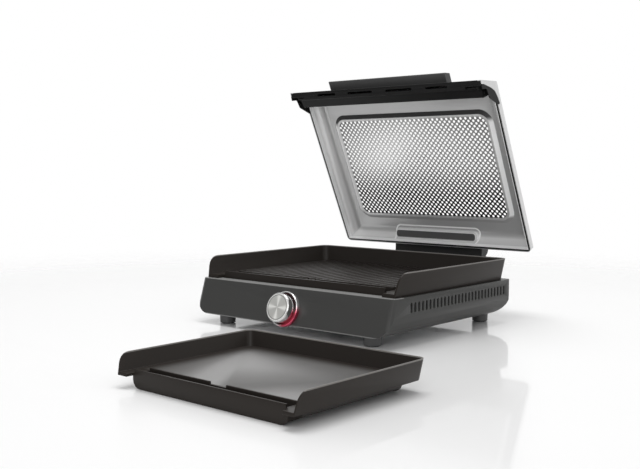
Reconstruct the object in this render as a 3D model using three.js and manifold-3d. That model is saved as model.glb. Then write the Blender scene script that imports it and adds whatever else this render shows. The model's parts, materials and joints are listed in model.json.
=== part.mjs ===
// Smokeless indoor grill: a low housing with a ridged plate, a second flat plate on the
// worktop in front of it, and a hinged lid with a perforated window, shown open.
// Millimetres. While the pieces are placed, x = 0 is the middle of the housing, y = 0 its
// front top edge and z = 0 the worktop, with +X right, +Y back and +Z up. At the end the
// whole set is moved so that the origin is under the middle of its bounding box.

import * as THREE from 'three';
import { mergeVertices } from 'three/addons/utils/BufferGeometryUtils.js';
import Module from 'manifold-3d';

const wasm = await Module();
wasm.setup();

// Clearances shared by all pieces
const gap = 0.3;
const overrun = 5;
const weld = 0.0001;
const quarterTurn = -90;
const roundSteps = 5;
const wideSteps = 7;
const smallSteps = 2;
const cornerSteps = 4;
const turnSteps = 36;
const fewSides = 16;
const footSteps = 22;
const rodSides = 8;
const rodSteps = 52;

// Housing
const base = {
  width: 420,
  depth: 335.5,
  top: 76.4,
  floor: 17.3,
  lean: 18,
  wall: 2.4,
  sideRound: 28,
  rearRound: 45,
  edgeRound: 7,
  floorLip: 10,
  lipOverlap: 8,
  openingFront: 28,
  seatRound: 2,
};
const vent = { count: 28, pitch: 10, firstY: 41.7, width: 4.8, lowBelowTop: 25, highBelowTop: 9.3, roundShare: 0.35 };

// Feet
const foot = {
  radius: 13.4,
  topRadius: 14.6,
  sideInset: 50,
  frontY: 11.3,
  rearInset: 18.5,
  height: 40,
  lift: 1.2,
  padRadius: 12.2,
  padHeight: 3,
};

// Cooking plate at full size, measured from the front lower edge of its flange
const seating = { side: 5.4, ends: 20.5, rear: 24, lower: 24, lip: 28.6, trough: 32.6, dam: 33.6 };
const plateWidth = base.width - seating.side * 2;
const plateDepth = base.depth - seating.ends;
const fullPlate = {
  width: plateWidth,
  depth: plateDepth,
  rise: 36.6,
  flare: 5.25,
  wall: 3,
  cornerRound: 15,
  frontSlope: 9.2,
  frontRound: 22,
  deck: 5.5,
  deckThickness: 4.5,
  lowerWidth: plateWidth - seating.lower * 2,
  lowerDepth: 21.2,
  lowerRear: plateDepth - seating.rear,
  lowerRound: 16,
  skirt: 3.6,
  setback: 13.5,
  lipRise: 11.8,
  lipThickness: 3.6,
  lipWidth: plateWidth - seating.lip * 2,
  troughFloor: -8,
  troughWidth: plateWidth - seating.trough * 2,
  damY: 43.6,
  damThickness: 4,
  damTop: 10,
  damRound: 1,
  damWidth: plateWidth - seating.dam * 2,
  damGap: 38.6,
};
const plateY = 6.7;
const rib = { pitch: 15, width: 5, crest: 2.4, height: 3.6, sideMargin: 20, frontMargin: 10, rearMargin: 16 };

// The second plate, as large as the photograph shows it, standing on the worktop
const griddleShare = 0.725;
const griddleX = 237;
const griddleY = -406.6;

// Lid: v runs from its rear rim forwards, e from its rim plane outwards
const lidFit = { overhang: 2, frontTop: 24.4, visor: 4.7, visorRear: 10.5, shelfFront: 14.5, shelfRear: 31, rimEnd: 52.5 };
const lid = {
  width: base.width + lidFit.overhang * 2,
  thickness: 32.6,
  sheet: 1.2,
  sideRound: 30,
  rearRound: 14,
  cornerRound: 8,
  frontTopV: base.depth - lidFit.frontTop,
  frontRound: 30,
  visorV: base.depth + lidFit.visor,
  visorE: -34,
  visorRearV: base.depth - lidFit.visorRear,
  visorBottomE: -36.2,
  shelfFrontV: base.depth - lidFit.shelfFront,
  shelfFrontE: -23.5,
  shelfRearV: base.depth - lidFit.shelfRear,
  shelfRearE: -21.2,
  rimEndV: base.depth - lidFit.rimEnd,
  rimEndRound: 6,
  shelfRound: 4,
  edgeRound: 1,
  skirtWidth: 7.5,
  coverE: -1.6,
};
const lidOpenAngle = 64.77;
const axisBehindRim = 36.9;
const axisBelowRim = 50.9;
const lidSeatGap = 0.4;

// Black cheeks at the visor's ends, which show in the sides of the lid
const cheek = { bottomE: -35.2, innerE: -28, middleE: -10.1, upperE: -1.3, rearE: 3.6, topE: 6.5, round: 3 };
const cheekFit = { bottom: 2, inner: 5.3, middle: 18.5, upper: 27.5, rear: 40.5, bridgeReach: 9 };

const liner = {
  edging: 3,
  edgingHeight: 6,
  edgingFront: 39.5,
  sheet: 1,
  bandE: 26.8,
  sideRound: 24,
  rearRound: 22,
  frontRound: 9,
  frontInset: 33.1,
};

// Raised field of the liner round the window: a foot outline on the band and a smaller top
const field = { side: 33, rearV: 42, front: 69, round: 27, draft: 8.4, rise: 4.1, flange: 4 };
const screen = { thickness: 0.7, pitch: 30, reach: 8.6, land: 4 };
const windowFrame = { wall: 1.7, top: 32.6 };

// Raised pad on the liner's rear corner, tilted, which carries the black fixing plate
const pad = { width: 187, length: 19, round: 8, draft: 7, depth: 14, middleV: 15, middleE: 16, tilt: -23 };
const fixing = { width: 183.8, length: 14.8, round: 6, thickness: 1.6 };

const visor = {
  wall: 2.6,
  top: 4,
  wallClearance: 1.2,
  wallRoom: 4.1,
  cornerRoom: 1.6,
  slotDepth: 4,
  slotStarts: [15.5, 101],
  slotEnds: [71, 144],
};
const handle = { width: 259.4, reach: 19.4, lowE: -11.6, highE: 3.4, round: 1.2, gripWidth: 236, gripDepth: 2.5, gripInset: 4 };

// Hinge
const armInset = 109.5;
const hinge = {
  pinRadius: 4,
  bore: 4.3,
  barrel: 13,
  armWidth: base.width - armInset * 2,
  armTop: 33.1,
  armBackV: 23,
  armUnderV: 22.5,
  armUnderE: 6.1,
  armRootE: 16.6,
  earThickness: 9,
  earRadius: 12,
  earTopDrop: 1.8,
  earFootDrop: 36.4,
  earTurn: 144,
  barrelStart: 10,
  barrelTurn: -200,
  rootRound: 2,
  backRound: 9,
  underRound: 8,
  washer: 1,
  washerRadius: 11,
  plateThickness: 4,
  plateFootDrop: 24.4,
  headRadius: 7,
  headThickness: 2.4,
};

// Knob and its light ring; h is measured square out of the front panel
const dial = {
  belowTop: 34.8,
  hole: 20,
  discRadius: 26.2,
  discH: 2.2,
  hubWall: 4,
  lightInner: 24.4,
  lightOuter: 26.2,
  lightTopH: 6.4,
  bezelInner: 26.6,
  bezelOuter: 29,
  bezelShoulderH: 4.9,
  bezelEdgeH: 6.2,
  bezelTopH: 7,
  knobRadius: 23.75,
  knobFootH: 3,
  knobTopH: 20.4,
  capRadius: 22.4,
  capH: 21.6,
  shaftRadius: 3,
  shaftTopH: 15,
  shaftEndH: -14,
};
const control = { bracketWidth: 74, bracketHeight: 36, sheet: 1.2, width: 34, height: 24, depth: 20, bush: 5, round: 4 };

// Heating, inside the housing
const heating = {
  side: 60,
  rear: 49.5,
  reflectorDrop: 29.4,
  rodDrop: 3.4,
  rows: 4,
  rowsFront: 86,
  rowsRear: 99.5,
  runInset: 85,
  endInset: 47,
  endDrop: 42.4,
};
const reflector = {
  width: base.width - heating.side * 2,
  frontY: 46,
  rearY: base.depth - heating.rear,
  z: base.top - heating.reflectorDrop,
  sheet: 1.2,
  edge: 6,
  leg: 12,
};
const element = {
  radius: 3.3,
  z: base.top - heating.rodDrop,
  rows: heating.rows,
  pitch: (base.depth - heating.rowsFront - heating.rowsRear) / (heating.rows - 1),
  firstY: heating.rowsFront,
  halfRun: base.width / 2 - heating.runInset,
  endX: base.width / 2 - heating.endInset,
  endZ: base.top - heating.endDrop,
  bend: 12,
};
const rail = { x: 80, width: 12, overlap: 2.6 };
const middleRowY = (heating.rowsFront + base.depth - heating.rowsRear) / 2;
const probe = { x: 0, y: middleRowY, radius: 8, collar: 11, collarHeight: 6 };
const cutout = { x: 42, y: middleRowY, width: 18, depth: 12, height: 8 };
const terminal = { width: 18, depth: 18, round: 3, socket: 6 };
const gland = { sideInset: 60, belowTop: 7.8, flange: 6.8, neck: 5.4, bore: 3.2, thickness: 2, inside: 3 };
const coverSlot = { rows: 2, count: 10, pitch: 22, length: 60, width: 5, spacing: 90 };

// Derived sizes that several pieces share
const panelHeight = base.top - base.floor;
const panelAngle = Math.atan2(base.lean, panelHeight);
const flangeZ = base.top + gap;
const hingeY = base.depth + axisBehindRim + gap;
const hingeZ = flangeZ + fullPlate.rise + lidSeatGap - axisBelowRim;
const coverZ = base.floor + base.wall + gap;
const coverTop = coverZ + control.sheet;
const dialZ = base.top - dial.belowTop;
const dialY = (-dial.belowTop * base.lean) / panelHeight;
const glandX = base.width / 2 - gland.sideInset;
const glandZ = base.top - gland.belowTop;
const linerFrontV = base.depth - liner.frontInset;
const fieldHalf = lid.width / 2 - field.side;
const fieldFrontV = base.depth - field.front;
const fieldTopE = liner.bandE - field.rise;
const screenE = fieldTopE + liner.sheet + gap;
const visorInnerHalf = fullPlate.width / 2 - visor.wallRoom;

// Colours and finishes
const finish = (color, metalness, roughness) => new THREE.MeshStandardMaterial({
  color,
  metalness,
  roughness,
  flatShading: true,
});
const charcoalPaint = finish(0x464646, 0.1, 0.55);
const castCoating = finish(0x3c3834, 0.2, 0.5);
const satinSteel = finish(0x9a9a9a, 0.9, 0.35);
const bareSteel = finish(0x8c8f92, 0.9, 0.4);
const chromePlate = finish(0xd8d8d8, 1, 0.1);
const blackPlastic = finish(0x232323, 0, 0.5);
const blackRubber = finish(0x161616, 0, 0.85);
const redLens = finish(0xb01515, 0, 0.3);
const ceramic = finish(0xe6e0d4, 0, 0.6);
const sheathMetal = finish(0x4a4540, 0.7, 0.5);

// Geometry helpers

// Points of a closed outline; a corner [a, b, radius] is rounded by an arc
function rounded(corners, steps = roundSteps) {
  const points = [];
  corners.forEach(([a, b, radius = 0], i) => {
    const corner = new THREE.Vector2(a, b);
    if (!radius) {
      points.push(corner);
      return;
    }
    const before = corners[(i + corners.length - 1) % corners.length];
    const after = corners[(i + 1) % corners.length];
    const back = new THREE.Vector2(before[0], before[1]).sub(corner).normalize();
    const on = new THREE.Vector2(after[0], after[1]).sub(corner).normalize();
    const half = Math.acos(THREE.MathUtils.clamp(back.dot(on), -1, 1)) / 2;
    const centre = back.clone().add(on).normalize().multiplyScalar(radius / Math.sin(half)).add(corner);
    const start = back.clone().multiplyScalar(radius / Math.tan(half)).add(corner).sub(centre);
    const end = on.clone().multiplyScalar(radius / Math.tan(half)).add(corner).sub(centre);
    const sweep = Math.atan2(start.cross(end), start.dot(end));
    for (let k = 0; k <= steps; k += 1) {
      points.push(start.clone().rotateAround(new THREE.Vector2(), (sweep * k) / steps).add(centre));
    }
  });
  return points;
}

function rectangle(a0, b0, a1, b1, radius = 0, steps = roundSteps) {
  return rounded([[a0, b0, radius], [a1, b0, radius], [a1, b1, radius], [a0, b1, radius]], steps);
}

function circle(a, b, radius, sides = turnSteps) {
  const points = [];
  for (let k = 0; k < sides; k += 1) {
    const angle = (2 * Math.PI * k) / sides;
    points.push(new THREE.Vector2(a + radius * Math.cos(angle), b + radius * Math.sin(angle)));
  }
  return points;
}

const unitX = new THREE.Vector3(1, 0, 0);
const unitY = new THREE.Vector3(0, 1, 0);
const unitZ = new THREE.Vector3(0, 0, 1);

function extrusion(points, depth) {
  return new THREE.ExtrudeGeometry(new THREE.Shape(points), { depth, bevelEnabled: false });
}

// An outline of (y, z) points run along X
function alongX(points, x0, x1) {
  const turn = new THREE.Matrix4().makeBasis(unitY, unitZ, unitX).setPosition(x0, 0, 0);
  return solid(extrusion(points, x1 - x0).applyMatrix4(turn));
}

// An outline of (x, z) points run along Y
function alongY(points, y0, y1) {
  const turn = new THREE.Matrix4().makeBasis(unitX, unitZ, unitY.clone().negate()).setPosition(0, y1, 0);
  return solid(extrusion(points, y1 - y0).applyMatrix4(turn));
}

// An outline of (x, y) points run along Z
function alongZ(points, z0, z1) {
  return solid(extrusion(points, z1 - z0).translate(0, 0, z0));
}

// The same with holes straight through
function pierced(points, z0, z1, holes) {
  return cut(alongZ(points, z0, z1), ...holes.map((hole) => alongZ(hole, z0 - overrun, z1 + overrun)));
}

function block(x0, y0, z0, x1, y1, z1) {
  return alongZ(rectangle(x0, y0, x1, y1), z0, z1);
}

// A closed profile of (radius, z) points turned about Z
function turned(profile, steps = turnSteps) {
  const points = profile.map(([radius, z]) => new THREE.Vector2(radius, z));
  points.push(points[0].clone());
  return solid(new THREE.LatheGeometry(points, steps).rotateX(Math.PI / 2));
}

// A closed body through level outlines with equal numbers of points, lowest first
function lofted(levels) {
  const count = levels[0].points.length;
  const positions = levels.flatMap(({ points, z }) => points.flatMap((p) => [p.x, p.y, z]));
  const index = [];
  for (let level = 0; level + 1 < levels.length; level += 1) {
    for (let j = 0; j < count; j += 1) {
      const a = level * count + j;
      const b = level * count + ((j + 1) % count);
      index.push(a, b, b + count, a, b + count, a + count);
    }
  }
  const last = (levels.length - 1) * count;
  THREE.ShapeUtils.triangulateShape(levels[0].points, []).forEach(([a, b, c]) => {
    index.push(c, b, a);
    index.push(last + a, last + b, last + c);
  });
  const geometry = new THREE.BufferGeometry();
  geometry.setAttribute('position', new THREE.Float32BufferAttribute(positions, 3));
  geometry.setIndex(index);
  return solid(geometry);
}

// A geometry as a solid with its faces pointing out
function solid(geometry) {
  const bare = geometry.clone();
  bare.deleteAttribute('normal');
  bare.deleteAttribute('uv');
  const merged = mergeVertices(bare, weld);
  const corners = merged.index.array;
  const place = merged.attributes.position;
  const triangles = [];
  let volume = 0;
  const [p, q, r] = [new THREE.Vector3(), new THREE.Vector3(), new THREE.Vector3()];
  for (let i = 0; i < corners.length; i += 3) {
    const [a, b, c] = [corners[i], corners[i + 1], corners[i + 2]];
    if (a !== b && b !== c && c !== a) {
      triangles.push(a, b, c);
      p.fromBufferAttribute(place, a);
      q.fromBufferAttribute(place, b);
      r.fromBufferAttribute(place, c);
      volume += p.dot(q.cross(r));
    }
  }
  if (volume < 0) triangles.reverse();
  return new wasm.Manifold(new wasm.Mesh({
    numProp: 3,
    vertProperties: Float32Array.from(place.array),
    triVerts: Uint32Array.from(triangles),
  }));
}

const join = (first, ...others) => others.reduce((sum, other) => sum.add(other), first);
const cut = (first, ...others) => others.reduce((rest, other) => rest.subtract(other), first);
const common = (first, ...others) => others.reduce((both, other) => both.intersect(other), first);
const both = (make) => [-1, 1].map(make);

function piece(name, shape, material, parent) {
  const made = shape.getMesh();
  const geometry = new THREE.BufferGeometry();
  geometry.setAttribute('position', new THREE.BufferAttribute(Float32Array.from(made.vertProperties), 3));
  geometry.setIndex(Array.from(made.triVerts));
  geometry.computeVertexNormals();
  const mesh = new THREE.Mesh(geometry, material);
  mesh.name = name;
  parent.add(mesh);
  return mesh;
}

const assembly = new THREE.Group();

// Housing

// The casing's outer form, or the same form moved inwards by inset; it reaches above the rim
function casing(inset, top) {
  const half = base.width / 2 - inset;
  const low = base.floor + inset;
  const frontY = (z) => inset / Math.cos(panelAngle) - ((base.top - z) * base.lean) / panelHeight;
  const sideView = rounded([
    [frontY(low), low],
    [base.depth - inset, low, base.rearRound - inset],
    [base.depth - inset, top],
    [frontY(top), top],
  ], wideSteps);
  const frontView = rounded([
    [-half, low, base.sideRound - inset],
    [half, low, base.sideRound - inset],
    [half, top],
    [-half, top],
  ], wideSteps);
  const edge = Math.max(base.edgeRound - inset, gap);
  const plan = rounded([
    [-half, frontY(low) - overrun],
    [half, frontY(low) - overrun],
    [half, base.depth - inset, edge],
    [-half, base.depth - inset, edge],
  ], smallSteps);
  return common(
    alongX(sideView, -half, half),
    alongY(frontView, frontY(low) - overrun, base.depth + overrun),
    alongZ(plan, 0, top + overrun),
    frontCorners(half, edge, inset),
  );
}

// Rounds the upright edges where the leaning panel meets the sides
function frontCorners(half, edge, inset) {
  const slab = rounded([
    [-half, inset - base.lean, edge],
    [half, inset - base.lean, edge],
    [half, base.depth + base.lean],
    [-half, base.depth + base.lean],
  ], smallSteps);
  const lean = (level) => ((base.top - level) * base.lean) / panelHeight;
  const moved = (z) => slab.map((p) => new THREE.Vector2(p.x, p.y + base.lean - lean(z)));
  const low = base.floor - overrun;
  const high = base.top + overrun * 2;
  return lofted([{ points: moved(low), z: low }, { points: moved(high), z: high }]);
}

function ventCutter() {
  const low = base.top - vent.lowBelowTop;
  const high = base.top - vent.highBelowTop;
  const slots = [];
  for (let i = 0; i < vent.count; i += 1) {
    const y = vent.firstY + i * vent.pitch;
    const half = vent.width / 2;
    slots.push(alongX(
      rectangle(y - half, low, y + half, high, vent.width * vent.roundShare, 1),
      -base.width / 2 - overrun,
      base.width / 2 + overrun,
    ));
  }
  return join(...slots);
}

function housing() {
  const plate = fullPlate;
  const shell = cut(casing(0, base.top), common(
    casing(base.wall, base.top),
    block(-base.width, -base.depth, 0, base.width, base.depth * 2, base.top - base.wall),
  ));
  const openHalf = base.width / 2 - base.sideRound - base.floorLip;
  const openRear = base.depth - base.rearRound - base.floorLip;
  const below = block(-openHalf, base.openingFront, base.floor - overrun, openHalf, openRear, base.floor + base.wall * 2);
  const seatHalf = plate.lowerWidth / 2 + gap * 4;
  const seat = alongZ(
    rectangle(-seatHalf, plateY + plate.setback - gap * 4, seatHalf, plateY + plate.lowerRear + gap * 4, base.seatRound, smallSteps),
    base.top - base.wall * 2,
    base.top + overrun,
  );
  const glandHole = alongY(
    circle(glandX, glandZ, gland.neck + gap, fewSides),
    base.depth - overrun,
    base.depth + overrun,
  );
  return cut(shell, below, seat, ventCutter(), dialHole(), glandHole);
}

// Places a solid made around the knob's axis, with h along Z, on the leaning panel
function onPanel(shape) {
  const turn = THREE.MathUtils.radToDeg(Math.PI / 2 - panelAngle);
  return shape.rotate([turn, 0, 0]).translate([0, dialY, dialZ]);
}

function dialHole() {
  const bar = alongZ(circle(0, 0, dial.hole), -base.wall * 2, base.wall * 2);
  return onPanel(bar);
}

function bottomCover() {
  const half = base.width / 2 - base.sideRound - base.floorLip + base.lipOverlap;
  const rear = base.depth - base.rearRound - base.floorLip + base.lipOverlap;
  const front = base.openingFront - base.lipOverlap;
  const holes = [];
  for (let row = 0; row < coverSlot.rows; row += 1) {
    const y = (front + rear) / 2 + (row - (coverSlot.rows - 1) / 2) * coverSlot.spacing;
    for (let i = 0; i < coverSlot.count; i += 1) {
      const x = (i - (coverSlot.count - 1) / 2) * coverSlot.pitch;
      holes.push(rectangle(
        x - coverSlot.width / 2,
        y - coverSlot.length / 2,
        x + coverSlot.width / 2,
        y + coverSlot.length / 2,
      ));
    }
  }
  return pierced(rectangle(-half, front, half, rear, base.floorLip, smallSteps), coverZ, coverTop, holes);
}

function footAt(x, y) {
  const body = turned([
    [0, foot.padHeight + gap],
    [foot.padRadius + gap, foot.padHeight + gap],
    [foot.padRadius + gap, foot.lift],
    [foot.radius, foot.lift],
    [foot.topRadius, foot.height],
    [0, foot.height],
  ], footSteps).translate([x, y, 0]);
  return cut(body, casing(-gap, base.top));
}

function footPadAt(x, y) {
  return turned([
    [0, 0],
    [foot.padRadius - foot.lift, 0],
    [foot.padRadius, foot.lift],
    [foot.padRadius, foot.padHeight],
    [0, foot.padHeight],
  ], footSteps).translate([x, y, 0]);
}

// Cooking plates

const scaled = (sizes, share) => Object.fromEntries(
  Object.entries(sizes).map(([key, value]) => [key, value * share]),
);

// Level outline of the plate's walls, grown by the flare at that height
function wallOutline(plate, z, inset) {
  const grow = (plate.flare * z) / plate.rise - inset;
  const half = plate.width / 2 + grow;
  const round = Math.max(plate.cornerRound - inset, plate.wall);
  return rounded([
    [-half, inset ? -overrun : 0],
    [half, inset ? -overrun : 0],
    [half, plate.depth + grow, round],
    [-half, plate.depth + grow, round],
  ], cornerSteps);
}

function cookingPlate(plate, ribs) {
  const high = plate.rise + overrun;
  const tray = lofted([
    { points: wallOutline(plate, 0, 0), z: 0 },
    { points: wallOutline(plate, high, 0), z: high },
  ]);
  const sideView = rounded([
    [0, 0],
    [plate.depth * 2, 0],
    [plate.depth * 2, plate.rise],
    [plate.frontSlope, plate.rise, plate.frontRound],
  ]);
  const walls = common(tray, alongX(sideView, -plate.width, plate.width));
  const bowl = lofted([
    { points: wallOutline(plate, plate.deck, plate.wall), z: plate.deck },
    { points: wallOutline(plate, high, plate.wall), z: high },
  ]);
  const lowerHalf = plate.lowerWidth / 2;
  const lowerView = (inset, top) => rounded([
    [-lowerHalf + inset, -plate.lowerDepth, plate.lowerRound],
    [lowerHalf - inset, -plate.lowerDepth, plate.lowerRound],
    [lowerHalf - inset, top],
    [-lowerHalf + inset, top],
  ]);
  const lower = alongY(lowerView(0, plate.deck), plate.setback, plate.lowerRear);
  const front = block(-lowerHalf, -overrun, -overrun, lowerHalf, plate.setback, plate.rise);
  const lipRear = plate.setback + plate.lipThickness;
  const lip = block(-plate.lipWidth / 2, plate.setback, 0, plate.lipWidth / 2, lipRear, plate.lipRise);
  const troughRear = plate.damY - plate.damThickness / 2;
  const trough = alongX(
    rounded([
      [lipRear, plate.troughFloor, plate.lipThickness],
      [troughRear, plate.troughFloor, plate.lipThickness],
      [troughRear, plate.rise],
      [lipRear, plate.rise],
    ], smallSteps),
    -plate.troughWidth / 2,
    plate.troughWidth / 2,
  );
  const under = plate.deck - plate.deckThickness;
  const hollow = cut(
    alongY(
      rounded([
        [-lowerHalf + plate.skirt, -plate.lowerDepth * 2],
        [lowerHalf - plate.skirt, -plate.lowerDepth * 2],
        [lowerHalf - plate.skirt, under],
        [-lowerHalf + plate.skirt, under],
      ]),
      plate.setback + plate.skirt,
      plate.lowerRear - plate.skirt,
    ),
    block(
      -lowerHalf,
      plate.setback,
      plate.troughFloor - plate.deckThickness,
      lowerHalf,
      troughRear + plate.deckThickness,
      plate.deck,
    ),
  );
  const dams = both((side) => alongX(
    rectangle(troughRear, plate.deck - plate.wall, troughRear + plate.damThickness, plate.damTop, plate.damRound, smallSteps),
    side < 0 ? -plate.damWidth / 2 : plate.damGap / 2,
    side < 0 ? -plate.damGap / 2 : plate.damWidth / 2,
  ));
  const body = join(cut(walls, bowl, front), lower, lip);
  return join(cut(body, trough, hollow), ...dams, ...ribs);
}

// Cooking ridges: tapered bars that run from front to back on the deck
function ridges(plate) {
  const half = plate.width / 2 - rib.sideMargin;
  const count = Math.floor((half * 2) / rib.pitch);
  const bars = [];
  for (let i = 0; i <= count; i += 1) {
    const x = (i - count / 2) * rib.pitch;
    bars.push(alongY(
      rounded([
        [x - rib.width / 2, plate.deck - plate.wall],
        [x + rib.width / 2, plate.deck - plate.wall],
        [x + rib.width / 2, plate.deck],
        [x + rib.crest / 2, plate.deck + rib.height],
        [x - rib.crest / 2, plate.deck + rib.height],
        [x - rib.width / 2, plate.deck],
      ]),
      plate.damY + rib.frontMargin,
      plate.depth - rib.rearMargin,
    ));
  }
  return bars;
}

// Heating, inside the housing

function heatReflector() {
  const half = reflector.width / 2;
  const pan = cut(
    block(-half, reflector.frontY, reflector.z, half, reflector.rearY, reflector.z + reflector.edge),
    block(
      -half + reflector.sheet,
      reflector.frontY + reflector.sheet,
      reflector.z + reflector.sheet,
      half - reflector.sheet,
      reflector.rearY - reflector.sheet,
      reflector.z + reflector.edge * 2,
    ),
  );
  const legs = both((side) => both((end) => {
    const x = side * (half - reflector.leg);
    const y = end < 0 ? reflector.frontY : reflector.rearY - reflector.sheet;
    return block(
      x - reflector.leg / 2,
      y,
      coverTop + gap,
      x + reflector.leg / 2,
      y + reflector.sheet,
      reflector.z + reflector.sheet,
    );
  })).flat();
  return join(pan, ...legs);
}

// Centre line of the heating rod: rows joined by half turns, with both ends turned down
class RodCurve extends THREE.Curve {
  constructor() {
    super();
    const path = new THREE.CurvePath();
    const row = (i) => element.firstY + i * element.pitch;
    const half = element.halfRun;
    const corner = (from, middle, to) => new THREE.QuadraticBezierCurve3(from, middle, to);
    const at = (x, y, z = element.z) => new THREE.Vector3(x, y, z);
    const { endX, endZ, bend } = element;
    path.add(new THREE.LineCurve3(at(endX, row(0), endZ), at(endX, row(0), element.z - bend)));
    path.add(corner(at(endX, row(0), element.z - bend), at(endX, row(0)), at(endX - bend, row(0))));
    path.add(new THREE.LineCurve3(at(endX - bend, row(0)), at(-half, row(0))));
    for (let i = 0; i + 1 < element.rows; i += 1) {
      const side = i % 2 === 0 ? -1 : 1;
      path.add(new HalfTurn(side * half, row(i), row(i + 1), side));
      const far = i + 2 === element.rows ? endX - bend : -side * half;
      path.add(new THREE.LineCurve3(at(side * half, row(i + 1)), at(far, row(i + 1))));
    }
    const lastY = row(element.rows - 1);
    path.add(corner(at(endX - bend, lastY), at(endX, lastY), at(endX, lastY, element.z - bend)));
    path.add(new THREE.LineCurve3(at(endX, lastY, element.z - bend), at(endX, lastY, endZ)));
    this.path = path;
  }

  getPoint(t) {
    return this.path.getPoint(t);
  }
}

class HalfTurn extends THREE.Curve {
  constructor(x, y0, y1, side) {
    super();
    Object.assign(this, { x, y0, y1, side });
  }

  getPoint(t) {
    const radius = (this.y1 - this.y0) / 2;
    const angle = Math.PI * t;
    return new THREE.Vector3(
      this.x + this.side * radius * Math.sin(angle),
      (this.y0 + this.y1) / 2 - radius * Math.cos(angle),
      element.z,
    );
  }
}

function rod(radius, sides) {
  const section = new THREE.Shape(circle(0, 0, radius, sides));
  return solid(new THREE.ExtrudeGeometry(section, { steps: rodSteps, bevelEnabled: false, extrudePath: new RodCurve() }));
}

function elementRail(side) {
  const span = element.pitch * (element.rows - 1) / 2 + element.pitch / 2;
  const middle = element.firstY + (element.pitch * (element.rows - 1)) / 2;
  const top = element.z - element.radius + rail.overlap;
  const foot0 = reflector.z + reflector.sheet + gap;
  const x = side * rail.x;
  const bar = block(x - reflector.sheet, middle - span, foot0, x + reflector.sheet, middle + span, top);
  const flange = block(x - rail.width / 2, middle - span, foot0, x + rail.width / 2, middle + span, foot0 + reflector.sheet);
  const seats = [];
  for (let i = 0; i < element.rows; i += 1) {
    seats.push(alongX(
      circle(element.firstY + i * element.pitch, element.z, element.radius + gap, fewSides),
      x - rail.width,
      x + rail.width,
    ));
  }
  return cut(join(bar, flange), ...seats);
}

function temperatureProbe() {
  const foot0 = reflector.z + reflector.sheet + gap;
  const top = flangeZ + fullPlate.deck - fullPlate.deckThickness - gap;
  return turned([
    [0, foot0],
    [probe.collar, foot0],
    [probe.collar, foot0 + probe.collarHeight],
    [probe.radius, foot0 + probe.collarHeight],
    [probe.radius, top],
    [0, top],
  ], fewSides).translate([probe.x, probe.y, 0]);
}

function thermalCutout() {
  const low = reflector.z + reflector.sheet + gap;
  const disc = alongZ(circle(cutout.x, cutout.y, cutout.depth / 2, fewSides), low, low + cutout.height);
  const ears = block(
    cutout.x - cutout.width / 2,
    cutout.y - cutout.depth / 4,
    low,
    cutout.x + cutout.width / 2,
    cutout.y + cutout.depth / 4,
    low + reflector.sheet,
  );
  return join(disc, ears);
}

function terminalBlock(row) {
  const y = element.firstY + row * element.pitch;
  const body = alongZ(
    rectangle(
      element.endX - terminal.width / 2,
      y - terminal.depth / 2,
      element.endX + terminal.width / 2,
      y + terminal.depth / 2,
      terminal.round,
      smallSteps,
    ),
    coverTop + gap,
    element.endZ + terminal.socket,
  );
  const socket = alongZ(circle(element.endX, y, element.radius + gap * 2, fewSides), element.endZ - gap, element.z);
  return cut(body, socket);
}

function cordGland() {
  return turned([
    [gland.bore, -base.wall - gland.inside],
    [gland.neck, -base.wall - gland.inside],
    [gland.neck, gap],
    [gland.flange, gap],
    [gland.flange, gland.thickness + gap],
    [gland.bore, gland.thickness + gap],
  ], fewSides).rotate([quarterTurn, 0, 0]).translate([glandX, base.depth, glandZ]);
}

// Control: pieces round the knob's axis, with h along Z

function dialBase() {
  return turned([
    [control.bush + gap, gap],
    [dial.hole - dial.hubWall, gap],
    [dial.hole - dial.hubWall, -base.wall - gap],
    [dial.hole - gap, -base.wall - gap],
    [dial.hole - gap, gap],
    [dial.discRadius, gap],
    [dial.discRadius, dial.discH],
    [control.bush + gap, dial.discH],
  ]);
}

function lightRing() {
  return turned([
    [dial.lightInner, dial.discH + gap],
    [dial.lightOuter, dial.discH + gap],
    [dial.lightOuter, dial.lightTopH - gap],
    [dial.lightOuter - gap, dial.lightTopH],
    [dial.lightInner, dial.lightTopH],
  ]);
}

function bezelRing() {
  const middle = (dial.bezelInner + dial.bezelOuter) / 2;
  return turned([
    [dial.bezelInner, gap],
    [dial.bezelOuter, gap],
    [dial.bezelOuter, dial.bezelShoulderH],
    [dial.bezelOuter - gap, dial.bezelEdgeH],
    [middle, dial.bezelTopH],
    [dial.bezelInner, dial.bezelEdgeH],
  ]);
}

function knobBody() {
  const { knobRadius, knobFootH, knobTopH, capRadius, shaftRadius, shaftTopH } = dial;
  const lipTop = dial.capH - gap;
  return turned([
    [shaftRadius + gap / 2, knobFootH],
    [knobRadius - gap, knobFootH],
    [knobRadius, knobFootH + gap],
    [knobRadius, lipTop - gap * 2],
    [knobRadius - gap * 2, lipTop],
    [capRadius + gap, lipTop],
    [capRadius + gap, knobTopH - gap],
    [0, knobTopH - gap],
    [0, shaftTopH + gap],
    [shaftRadius + gap / 2, shaftTopH + gap],
  ]);
}

function knobCap() {
  const bevel = dial.capH - dial.knobTopH;
  return turned([
    [0, dial.knobTopH],
    [dial.capRadius, dial.knobTopH],
    [dial.capRadius, dial.capH - bevel / 2],
    [dial.capRadius - bevel, dial.capH],
    [0, dial.capH],
  ]);
}

function dialShaft() {
  return turned([
    [0, dial.shaftEndH],
    [dial.shaftRadius, dial.shaftEndH],
    [dial.shaftRadius, dial.shaftTopH],
    [0, dial.shaftTopH],
  ], fewSides);
}

function indicatorBoard() {
  const outer = dial.hole - dial.hubWall - gap;
  return turned([
    [control.bush + gap * 2, -base.wall],
    [outer, -base.wall],
    [outer, -base.wall + control.sheet],
    [control.bush + gap * 2, -base.wall + control.sheet],
  ], footSteps);
}

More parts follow.
